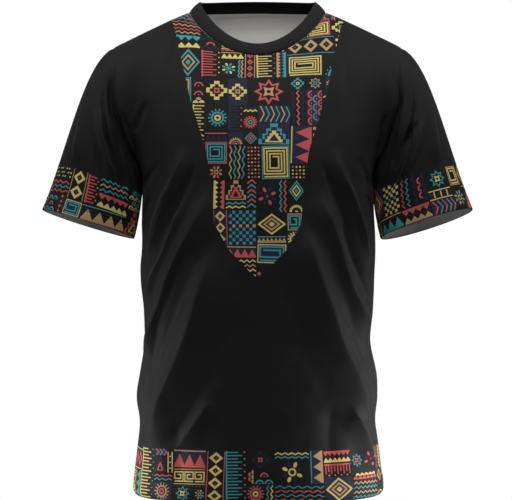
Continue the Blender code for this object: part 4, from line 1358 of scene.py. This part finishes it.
def knit_bump(nodes, links, coordinate, pitch, distance, strength):
    """Height of the small loops of a knit, as a bump. Gives the bump node's normal."""
    scale = nodes.new("ShaderNodeVectorMath")
    scale.operation = "SCALE"
    scale.inputs["Scale"].default_value = 1.0 / pitch
    links.new(coordinate, scale.inputs[0])
    parts = nodes.new("ShaderNodeSeparateXYZ")
    links.new(scale.outputs["Vector"], parts.inputs["Vector"])
    wale = math_node(nodes, links, "SINE", math_node(nodes, links, "MULTIPLY", parts.outputs["X"], 2 * pi))
    side = math_node(nodes, links, "ABSOLUTE", wale)
    slant = math_node(nodes, links, "ADD", math_node(nodes, links, "MULTIPLY", parts.outputs["Y"], 2 * pi * 1.3), side)
    course = math_node(nodes, links, "SINE", slant)
    height = math_node(nodes, links, "ADD", math_node(nodes, links, "MULTIPLY", side, 0.7), course)
    bump = nodes.new("ShaderNodeBump")
    bump.inputs["Strength"].default_value = strength
    bump.inputs["Distance"].default_value = distance
    links.new(height, bump.inputs["Height"])
    return bump.outputs["Normal"]


def math_node(nodes, links, operation, first, second=None):
    node = nodes.new("ShaderNodeMath")
    node.operation = operation
    for socket, value in zip(node.inputs, (first, second)):
        if value is None:
            continue
        if isinstance(value, (int, float)):
            socket.default_value = value
        else:
            links.new(value, socket)
    return node.outputs[0]


def fresh_material(name):
    material = bpy.data.materials.new(name)
    material.use_nodes = True
    return material, material.node_tree.nodes, material.node_tree.links


def mottled(nodes, links, coordinate, colour, scale, low, high):
    """A colour a little lighter and darker from place to place."""
    noise = nodes.new("ShaderNodeTexNoise")
    noise.inputs["Scale"].default_value = scale
    noise.inputs["Detail"].default_value = 4.0
    links.new(coordinate, noise.inputs["Vector"])
    spread = nodes.new("ShaderNodeMapRange")
    spread.inputs["From Min"].default_value = 0.3
    spread.inputs["From Max"].default_value = 0.7
    spread.inputs["To Min"].default_value = low
    spread.inputs["To Max"].default_value = high
    links.new(noise.outputs["Fac"], spread.inputs["Value"])
    blend = nodes.new("ShaderNodeVectorMath")
    blend.operation = "SCALE"
    links.new(spread.outputs["Result"], blend.inputs["Scale"])
    if isinstance(colour, bpy.types.NodeSocket):
        links.new(colour, blend.inputs[0])
    else:
        blend.inputs[0].default_value = colour
    return blend.outputs["Vector"]


def printed_jersey(name):
    """Black jersey with its print, fine knit and a soft sheen."""
    material, nodes, links = fresh_material(name)
    shader = nodes["Principled BSDF"]
    shader.inputs["Roughness"].default_value = 0.62
    shader.inputs["Specular IOR Level"].default_value = 0.12
    shader.inputs["Sheen Weight"].default_value = 0.035
    shader.inputs["Sheen Roughness"].default_value = 0.45
    ink = nodes.new("ShaderNodeVertexColor")
    ink.layer_name = "print_colour"
    place = nodes.new("ShaderNodeUVMap")
    place.uv_map = "cut"
    links.new(mottled(nodes, links, place.outputs["UV"], ink.outputs["Color"], 900.0, 0.84, 1.14),
              shader.inputs["Base Color"])
    links.new(knit_bump(nodes, links, place.outputs["UV"], 0.0011, 0.0003, 0.25), shader.inputs["Normal"])
    return material


def plain_jersey(name, colour):
    material, nodes, links = fresh_material(name)
    shader = nodes["Principled BSDF"]
    shader.inputs["Roughness"].default_value = 0.85
    shader.inputs["Specular IOR Level"].default_value = 0.15
    place = nodes.new("ShaderNodeUVMap")
    place.uv_map = "cut"
    links.new(mottled(nodes, links, place.outputs["UV"], colour, 700.0, 0.92, 1.05), shader.inputs["Base Color"])
    links.new(knit_bump(nodes, links, place.outputs["UV"], 0.0011, 0.0003, 0.3), shader.inputs["Normal"])
    return material


def rib_knit(name, colour, sheen):
    material, nodes, links = fresh_material(name)
    shader = nodes["Principled BSDF"]
    shader.inputs["Roughness"].default_value = 0.75
    shader.inputs["Specular IOR Level"].default_value = 0.10
    shader.inputs["Sheen Weight"].default_value = sheen
    shader.inputs["Sheen Roughness"].default_value = 0.5
    place = nodes.new("ShaderNodeUVMap")
    place.uv_map = "cut"
    links.new(mottled(nodes, links, place.outputs["UV"], colour, 900.0, 0.8, 1.15), shader.inputs["Base Color"])
    links.new(knit_bump(nodes, links, place.outputs["UV"], 0.0011, 0.0003, 0.3), shader.inputs["Normal"])
    return material


def thread_material(colour):
    material, nodes, links = fresh_material("thread")
    shader = nodes["Principled BSDF"]
    shader.inputs["Roughness"].default_value = 0.5
    shader.inputs["Sheen Weight"].default_value = 0.2
    place = nodes.new("ShaderNodeTexCoord")
    links.new(mottled(nodes, links, place.outputs["Object"], colour, 1500.0, 0.8, 1.2), shader.inputs["Base Color"])
    return material


def ink_colours(colours):
    return {ink: tuple(getattr(colours, ink)) for ink in (*INKS, "turned")}


def edge_levels(turn_up):
    """Rows of points, in mm up from a turned-up edge, that its fold and its sewing need."""
    levels = [0.5, 1.2]
    for row in SEAM_ROWS:
        middle = (turn_up - row) / MM
        levels += [middle - 1.6, middle - 0.8, middle, middle + 0.8, middle + 1.6]
    return sorted(levels)


def turned_wall(sizes, edge, turn_up, seam_gap):
    """Thickness of the cloth: doubled below the top of its turn-up, thinner where it is stretched round the
    armhole, and with its sewing allowance turned in there."""
    def wall(s, t):
        gap = seam_gap(s, t)
        allowance = ALLOWANCE * (1 - smoothstep(gap / ALLOWANCE))
        stretched = 0.6 * (1 - smoothstep((gap - 0.02) / 0.01))
        return sizes.cloth * (2 - stretched - smoothstep((t - edge - turn_up) / 0.0012)) + allowance
    return wall


def armhole_gap(s, t):
    """How far places on a panel's cut are from its armholes, across."""
    return HALF_CUT - np.abs(s) + np.maximum(ARMPIT_HEIGHT - t, 0.0)


class SHIRT_OT_panels(bpy.types.Operator):
    """Makes the front and the back, cut with their print and their hems turned up"""

    bl_idname = "shirt.panels"
    bl_label = "Front and back"

    def execute(self, context):
        sizes, colours = context.scene.shirt_sizes, context.scene.shirt_colours
        inks = ink_colours(colours)
        inside = plain_jersey("inside_jersey", tuple(colours.inside))
        source = np.random.default_rng(11)
        hem = HEM_HEIGHT / MM
        for face in FORWARD:
            surface = panel_surface(face, sizes)
            shapes = field_shapes(-HALF_CUT / MM + 2, HALF_CUT / MM - 2, hem, hem + HEM_BAND, source, 5.0)
            levels = [hem + level for level in edge_levels(HEM_TURN_UP)] + [TOP_CUT / MM - 1.5]
            front, front_edge = front_print(surface) if face == "front" else ((), None)
            cut = cut_mesh(panel_outline(), shapes, near_armhole, levels, front, front_edge, surface.crests)
            wall = turned_wall(sizes, HEM_HEIGHT, HEM_TURN_UP, armhole_gap)
            skins = (printed_jersey(face + "_jersey"), inside)
            fold_top = HEM_HEIGHT + HEM_TURN_UP
            piece = cloth_piece(face + "_cloth", surface, cut, wall, fold_top, skins, inks)
            rows = [HEM_HEIGHT + HEM_TURN_UP - row for row in SEAM_ROWS]
            stitches = stitch_rows(face + "_hem_stitches", surface, rows, context)
            settle(piece, face + "_panel")
            settle(stitches, None)
        return {"FINISHED"}


class SHIRT_OT_sleeves(bpy.types.Operator):
    """Makes both sleeves, each with its patterned band and its cuff turned up"""

    bl_idname = "shirt.sleeves"
    bl_label = "Sleeves"

    def execute(self, context):
        sizes, colours = context.scene.shirt_sizes, context.scene.shirt_colours
        inks = ink_colours(colours)
        skins = (printed_jersey("sleeve_jersey"), plain_jersey("inside_sleeve", tuple(colours.inside)))
        reach = SLEEVE_HALF_CUT / MM - 2
        for hand, seed in (("left", 23), ("right", 31)):
            source = np.random.default_rng(seed)
            surface = sleeve_surface(hand, sizes)
            shapes = field_shapes(-reach, reach, 0.0, CUFF_BAND, source, 5.0)

            def seam_gap(s, t):
                return surface.length(s) - t

            def near_seam(places):
                return seam_gap(places[:, 0] * MM, places[:, 1] * MM) < 0.042

            cut = cut_mesh(sleeve_outline(surface), shapes, near_seam, edge_levels(CUFF_TURN_UP))
            wall = turned_wall(sizes, 0.0, CUFF_TURN_UP, seam_gap)
            piece = cloth_piece("sleeve_cloth_" + hand, surface, cut, wall, CUFF_TURN_UP, skins, inks, closed=True)
            rows = [CUFF_TURN_UP - row for row in SEAM_ROWS]
            stitches = stitch_rows("cuff_stitches_" + hand, surface, rows, context)
            settle(piece, "sleeve_" + hand)
            settle(stitches, None)
        return {"FINISHED"}


def stitch_shape(length, thickness):
    """One stitch, modelled from a small sphere. Gives its points and faces."""
    bpy.ops.mesh.primitive_uv_sphere_add(segments=6, ring_count=4, radius=0.5)
    bpy.ops.object.mode_set(mode="EDIT")
    bpy.ops.mesh.select_all(action="SELECT")
    bpy.ops.transform.resize(value=(thickness, thickness * 0.7, length))
    bpy.ops.object.mode_set(mode="OBJECT")
    model = bpy.context.object
    points = np.array([vertex.co[:] for vertex in model.data.vertices])
    faces = [list(face.vertices) for face in model.data.polygons]
    bpy.data.objects.remove(model, do_unlink=True)
    return points, faces


def stitch_rows(name, surface, levels, context):
    """Stitches end to end along rows at the named lengths up the cut, sunk a little into the cloth."""
    sizes = context.scene.shirt_sizes
    shape, faces = stitch_shape(sizes.stitch * 0.86, sizes.thread)
    low, high = surface.s_range
    count = int((high - low) / sizes.stitch)
    s = low + (np.arange(count) + 0.5) * (high - low) / count
    points, all_faces = [], []
    for level in levels:
        t = np.full(count, level)
        middle = surface.at(s, t)
        normal = surface.normal_at(s, t)
        ahead = unit(surface.at(np.minimum(s + PROBE, high), t) - surface.at(np.maximum(s - PROBE, low), t))
        aside = unit(np.cross(normal, ahead))
        for k in range(count):
            first = len(points)
            frame_axes = np.stack((aside[k], normal[k], ahead[k]))
            points += list(shape @ frame_axes + middle[k] + normal[k] * sizes.thread * 0.2)
            all_faces += [[first + corner for corner in face] for face in faces]
    mesh = bpy.data.meshes.new(name)
    mesh.from_pydata([tuple(point) for point in points], [], all_faces)
    mesh.shade_smooth()
    material = bpy.data.materials.get("thread") or thread_material(tuple(context.scene.shirt_colours.thread))
    mesh.materials.append(material)
    piece = bpy.data.objects.new(name, mesh)
    bpy.context.scene.collection.objects.link(piece)
    return piece


class SHIRT_OT_neck_rib(bpy.types.Operator):
    """Makes the neck band, folded double, with its ribs and its join at the front"""

    bl_idname = "shirt.neck_rib"
    bl_label = "Neck rib"

    def execute(self, context):
        sizes, colours = context.scene.shirt_sizes, context.scene.shirt_colours
        piece = make_rib(sizes)
        piece.data.materials.append(rib_knit("rib_outside", tuple(colours.rib), 0.06))
        # the inner face gets a darker, sheenless copy of the rib knit: painted shade inside the neck
        piece.data.materials.append(rib_knit("rib_inside", tuple(colours.rib_inside), 0.0))
        settle(piece, "neck_rib")
        return {"FINISHED"}


def rib_edges(turn):
    """Seam and top edge of the neck band at a turn round it: 0 in front, 1 at the right, 2 behind."""
    folded = (turn + 2) % 4 - 2
    front = np.abs(folded) <= 1
    local = np.where(front, folded, np.sign(folded) * (2 - np.abs(folded)))
    seam = np.where(front[:, None], neck_points("front", local), neck_points("back", local))
    level = np.maximum(np.cos(local * pi / 2), 0.0)
    depth = np.where(front, -RIB_DEPTH["front"], RIB_DEPTH["back"]) * level
    rise = np.where(front, RIB_RISE["front"], RIB_RISE["back"])
    rise = RIB_RISE["side"] + (rise - RIB_RISE["side"]) * level**2
    top = np.stack((RIB_HALF_WIDTH * np.sin(local * pi / 2), depth, seam[:, 2] + rise), axis=-1)
    return seam, top


def make_rib(sizes):
    wall = 0.0020
    fine = np.linspace(0.0, 4.0, 4001)[:-1]
    seam, _ = rib_edges(fine)
    lengths = np.cumsum(np.linalg.norm(np.roll(seam, -1, axis=0) - seam, axis=1))
    ribs = round(lengths[-1] / sizes.rib_pitch)
    columns = ribs * 4
    turn = np.interp(np.arange(columns) / columns * lengths[-1], np.concatenate(([0.0], lengths[:-1])), fine)
    seam, top = rib_edges(turn)
    ahead = unit(np.roll(seam, -1, axis=0) - np.roll(seam, 1, axis=0))
    upright = unit(top - seam)
    out = unit(np.cross(ahead, upright))
    out = np.where((np.sum(out * seam * (1, 1, 0), axis=1) < 0)[:, None], -out, out)
    groove = 0.5 - 0.5 * np.cos(2 * pi * np.arange(columns) / 4)
    inch = np.minimum(turn, 4 - turn)
    join = np.exp(-((inch / 0.006) ** 2))
    rows = []
    for share in np.linspace(0.0, 1.0, 9):
        bulge = 0.0012 * 4 * share * (1 - share)
        depth = bulge - sizes.rib_depth * groove * min(1.0, 6 * (1 - share)) - 0.0006 * join
        rows.append(seam + (top - seam) * share + out * depth[:, None])
    for angle in (pi / 4, pi / 2, 3 * pi / 4):
        middle = top - out * wall / 2
        rows.append(middle + out * wall / 2 * cos(angle) + upright * wall / 2 * sin(angle))
    for share in np.linspace(1.0, 0.0, 9):
        bulge = 0.0012 * 4 * share * (1 - share)
        depth = bulge - wall + sizes.rib_depth * groove * min(1.0, 6 * (1 - share))
        rows.append(seam + (top - seam) * share + out * depth[:, None])
    grid = np.array(rows)
    count = len(rows)
    index = np.arange(count * columns).reshape(count, columns)
    after = np.roll(index, -1, axis=1)
    faces = [np.stack((index[r], after[r], after[(r + 1) % count], index[(r + 1) % count]), axis=-1)
             for r in range(count)]
    faces = np.concatenate(faces)
    mesh = bpy.data.meshes.new("neck_band")
    mesh.from_pydata(grid.reshape(-1, 3).tolist(), [], faces.tolist())
    mesh.shade_smooth()
    # rows past the fold take the second slot, the rib knit darkened as painted shade
    mesh.polygons.foreach_set("material_index", (np.repeat(np.arange(count), columns) > 9).astype(np.int32))
    layer = mesh.uv_layers.new(name="cut")
    across = np.tile(np.arange(columns + 1) / columns * lengths[-1], (count, 1))
    down = np.repeat(np.arange(count + 1) * 0.0022, 1)
    places = []
    for r in range(count):
        for c in range(columns):
            places += [across[r, c], down[r], across[r, c + 1], down[r],
                       across[r, c + 1], down[r + 1], across[r, c], down[r + 1]]
    layer.data.foreach_set("uv", places)
    piece = bpy.data.objects.new("neck_band", mesh)
    bpy.context.scene.collection.objects.link(piece)
    return piece


def settle(piece, node):
    """Puts a piece on the frame's one body, in the place of its node."""
    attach(piece, "root")
    if node:
        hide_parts(node)


CAMERA_PLACE = (-0.00225, -2.5, -0.35625)
CAMERA_LENS = 36 * 2.5 / 0.768
FLOOR_HEIGHT = -1.45  # as far below the shoulders as a wearer's feet
FLOOR_SIZE = 7.0
AMBIENT = 0.09

# Lights: where each stands, what it faces, its width and height, how far its light fans out, and its power
Light = namedtuple("Light", "name place aim width height fan power")
LIGHTS = (
    Light("overhead_front", (0.0, -1.2, 1.3), (0.0, 0.0, -0.10), 1.2, 0.6, 180, 29.0),
    Light("key_left", (-1.5, -0.3, 1.3), (-0.1, 0.0, 0.0), 0.5, 0.5, 180, 20.0),
    Light("key_right", (1.5, -0.3, 1.3), (0.1, 0.0, 0.0), 0.5, 0.5, 180, 23.0),
    Light("rim_left", (-1.1, -0.05, -0.72), (-0.16, 0.0, -0.67), 0.25, 0.35, 36, 0.7),
    Light("rim_right", (1.1, -0.05, -0.72), (0.16, 0.0, -0.67), 0.25, 0.35, 36, 1.15),
)


def studio_world():
    """A white backdrop to the eye, and a dimmer even light on the shirt."""
    world = bpy.data.worlds.new("studio")
    world.use_nodes = True
    nodes, links = world.node_tree.nodes, world.node_tree.links
    backdrop = nodes["Background"]
    backdrop.inputs["Color"].default_value = (1.0, 1.0, 1.0, 1.0)
    light = nodes.new("ShaderNodeBackground")
    light.inputs["Color"].default_value = (1.0, 1.0, 1.0, 1.0)
    light.inputs["Strength"].default_value = AMBIENT
    path = nodes.new("ShaderNodeLightPath")
    mix = nodes.new("ShaderNodeMixShader")
    links.new(path.outputs["Is Camera Ray"], mix.inputs["Fac"])
    links.new(light.outputs["Background"], mix.inputs[1])
    links.new(backdrop.outputs["Background"], mix.inputs[2])
    links.new(mix.outputs["Shader"], nodes["World Output"].inputs["Surface"])
    return world


class SHIRT_OT_stage(bpy.types.Operator):
    """Makes the floor and backdrop, the lights and the camera"""

    bl_idname = "shirt.stage"
    bl_label = "Stage"

    def execute(self, context):
        colours = context.scene.shirt_colours
        bpy.ops.mesh.primitive_plane_add(size=1.0, location=(0.0, 0.0, FLOOR_HEIGHT))
        floor = context.object
        floor.name = "floor"
        bpy.ops.object.mode_set(mode="EDIT")
        bpy.ops.mesh.select_all(action="SELECT")
        bpy.ops.transform.resize(value=(FLOOR_SIZE, FLOOR_SIZE, 1.0))
        bpy.ops.object.mode_set(mode="OBJECT")
        material, nodes, links = fresh_material("floor_white")
        shader = nodes["Principled BSDF"]
        shader.inputs["Roughness"].default_value = 0.9
        place = nodes.new("ShaderNodeTexCoord")
        links.new(mottled(nodes, links, place.outputs["Object"], tuple(colours.floor), 3.0, 0.99, 1.0),
                  shader.inputs["Base Color"])
        floor.data.materials.append(material)
        for light in LIGHTS:
            lamp = bpy.data.lights.new(light.name, "AREA")
            lamp.shape = "RECTANGLE"
            lamp.size = light.width
            lamp.size_y = light.height
            lamp.spread = radians(light.fan)
            lamp.energy = light.power
            holder = bpy.data.objects.new(light.name, lamp)
            holder.location = light.place
            holder.rotation_euler = (Vector(light.aim) - Vector(light.place)).to_track_quat("-Z", "Y").to_euler()
            context.scene.collection.objects.link(holder)
        context.scene.world = studio_world()
        context.scene.view_settings.view_transform = "Standard"
        camera = bpy.data.cameras.new("camera")
        camera.lens = CAMERA_LENS
        camera.sensor_width = 36
        holder = bpy.data.objects.new("camera", camera)
        holder.location = CAMERA_PLACE
        holder.rotation_euler = (pi / 2, 0.0, 0.0)
        context.scene.collection.objects.link(holder)
        context.scene.camera = holder
        return {"FINISHED"}


class SHIRT_PT_build(bpy.types.Panel):
    """Lists the steps that dress the shirt"""

    bl_label = "T-shirt"
    bl_idname = "SHIRT_PT_build"
    bl_space_type = "VIEW_3D"
    bl_region_type = "UI"
    bl_category = "T-shirt"

    def draw(self, context):
        for step in STEPS:
            self.layout.operator(step.bl_idname)
        for group in (context.scene.shirt_sizes, context.scene.shirt_colours):
            box = self.layout.box()
            for name in group.__annotations__:
                box.prop(group, name)


STEPS = (SHIRT_OT_panels, SHIRT_OT_sleeves, SHIRT_OT_neck_rib, SHIRT_OT_stage)
CLASSES = (ShirtSizes, ShirtColours, *STEPS, SHIRT_PT_build)


def register():
    for cls in CLASSES:
        bpy.utils.register_class(cls)
    bpy.types.Scene.shirt_sizes = PointerProperty(type=ShirtSizes)
    bpy.types.Scene.shirt_colours = PointerProperty(type=ShirtColours)


def unregister():
    del bpy.types.Scene.shirt_colours
    del bpy.types.Scene.shirt_sizes
    for cls in reversed(CLASSES):
        bpy.utils.unregister_class(cls)


def main():
    register()
    bpy.ops.object.select_all(action="DESELECT")
    bpy.ops.shirt.panels()
    bpy.ops.shirt.sleeves()
    bpy.ops.shirt.neck_rib()
    bpy.ops.shirt.stage()


if __name__ == "__main__":
    main()
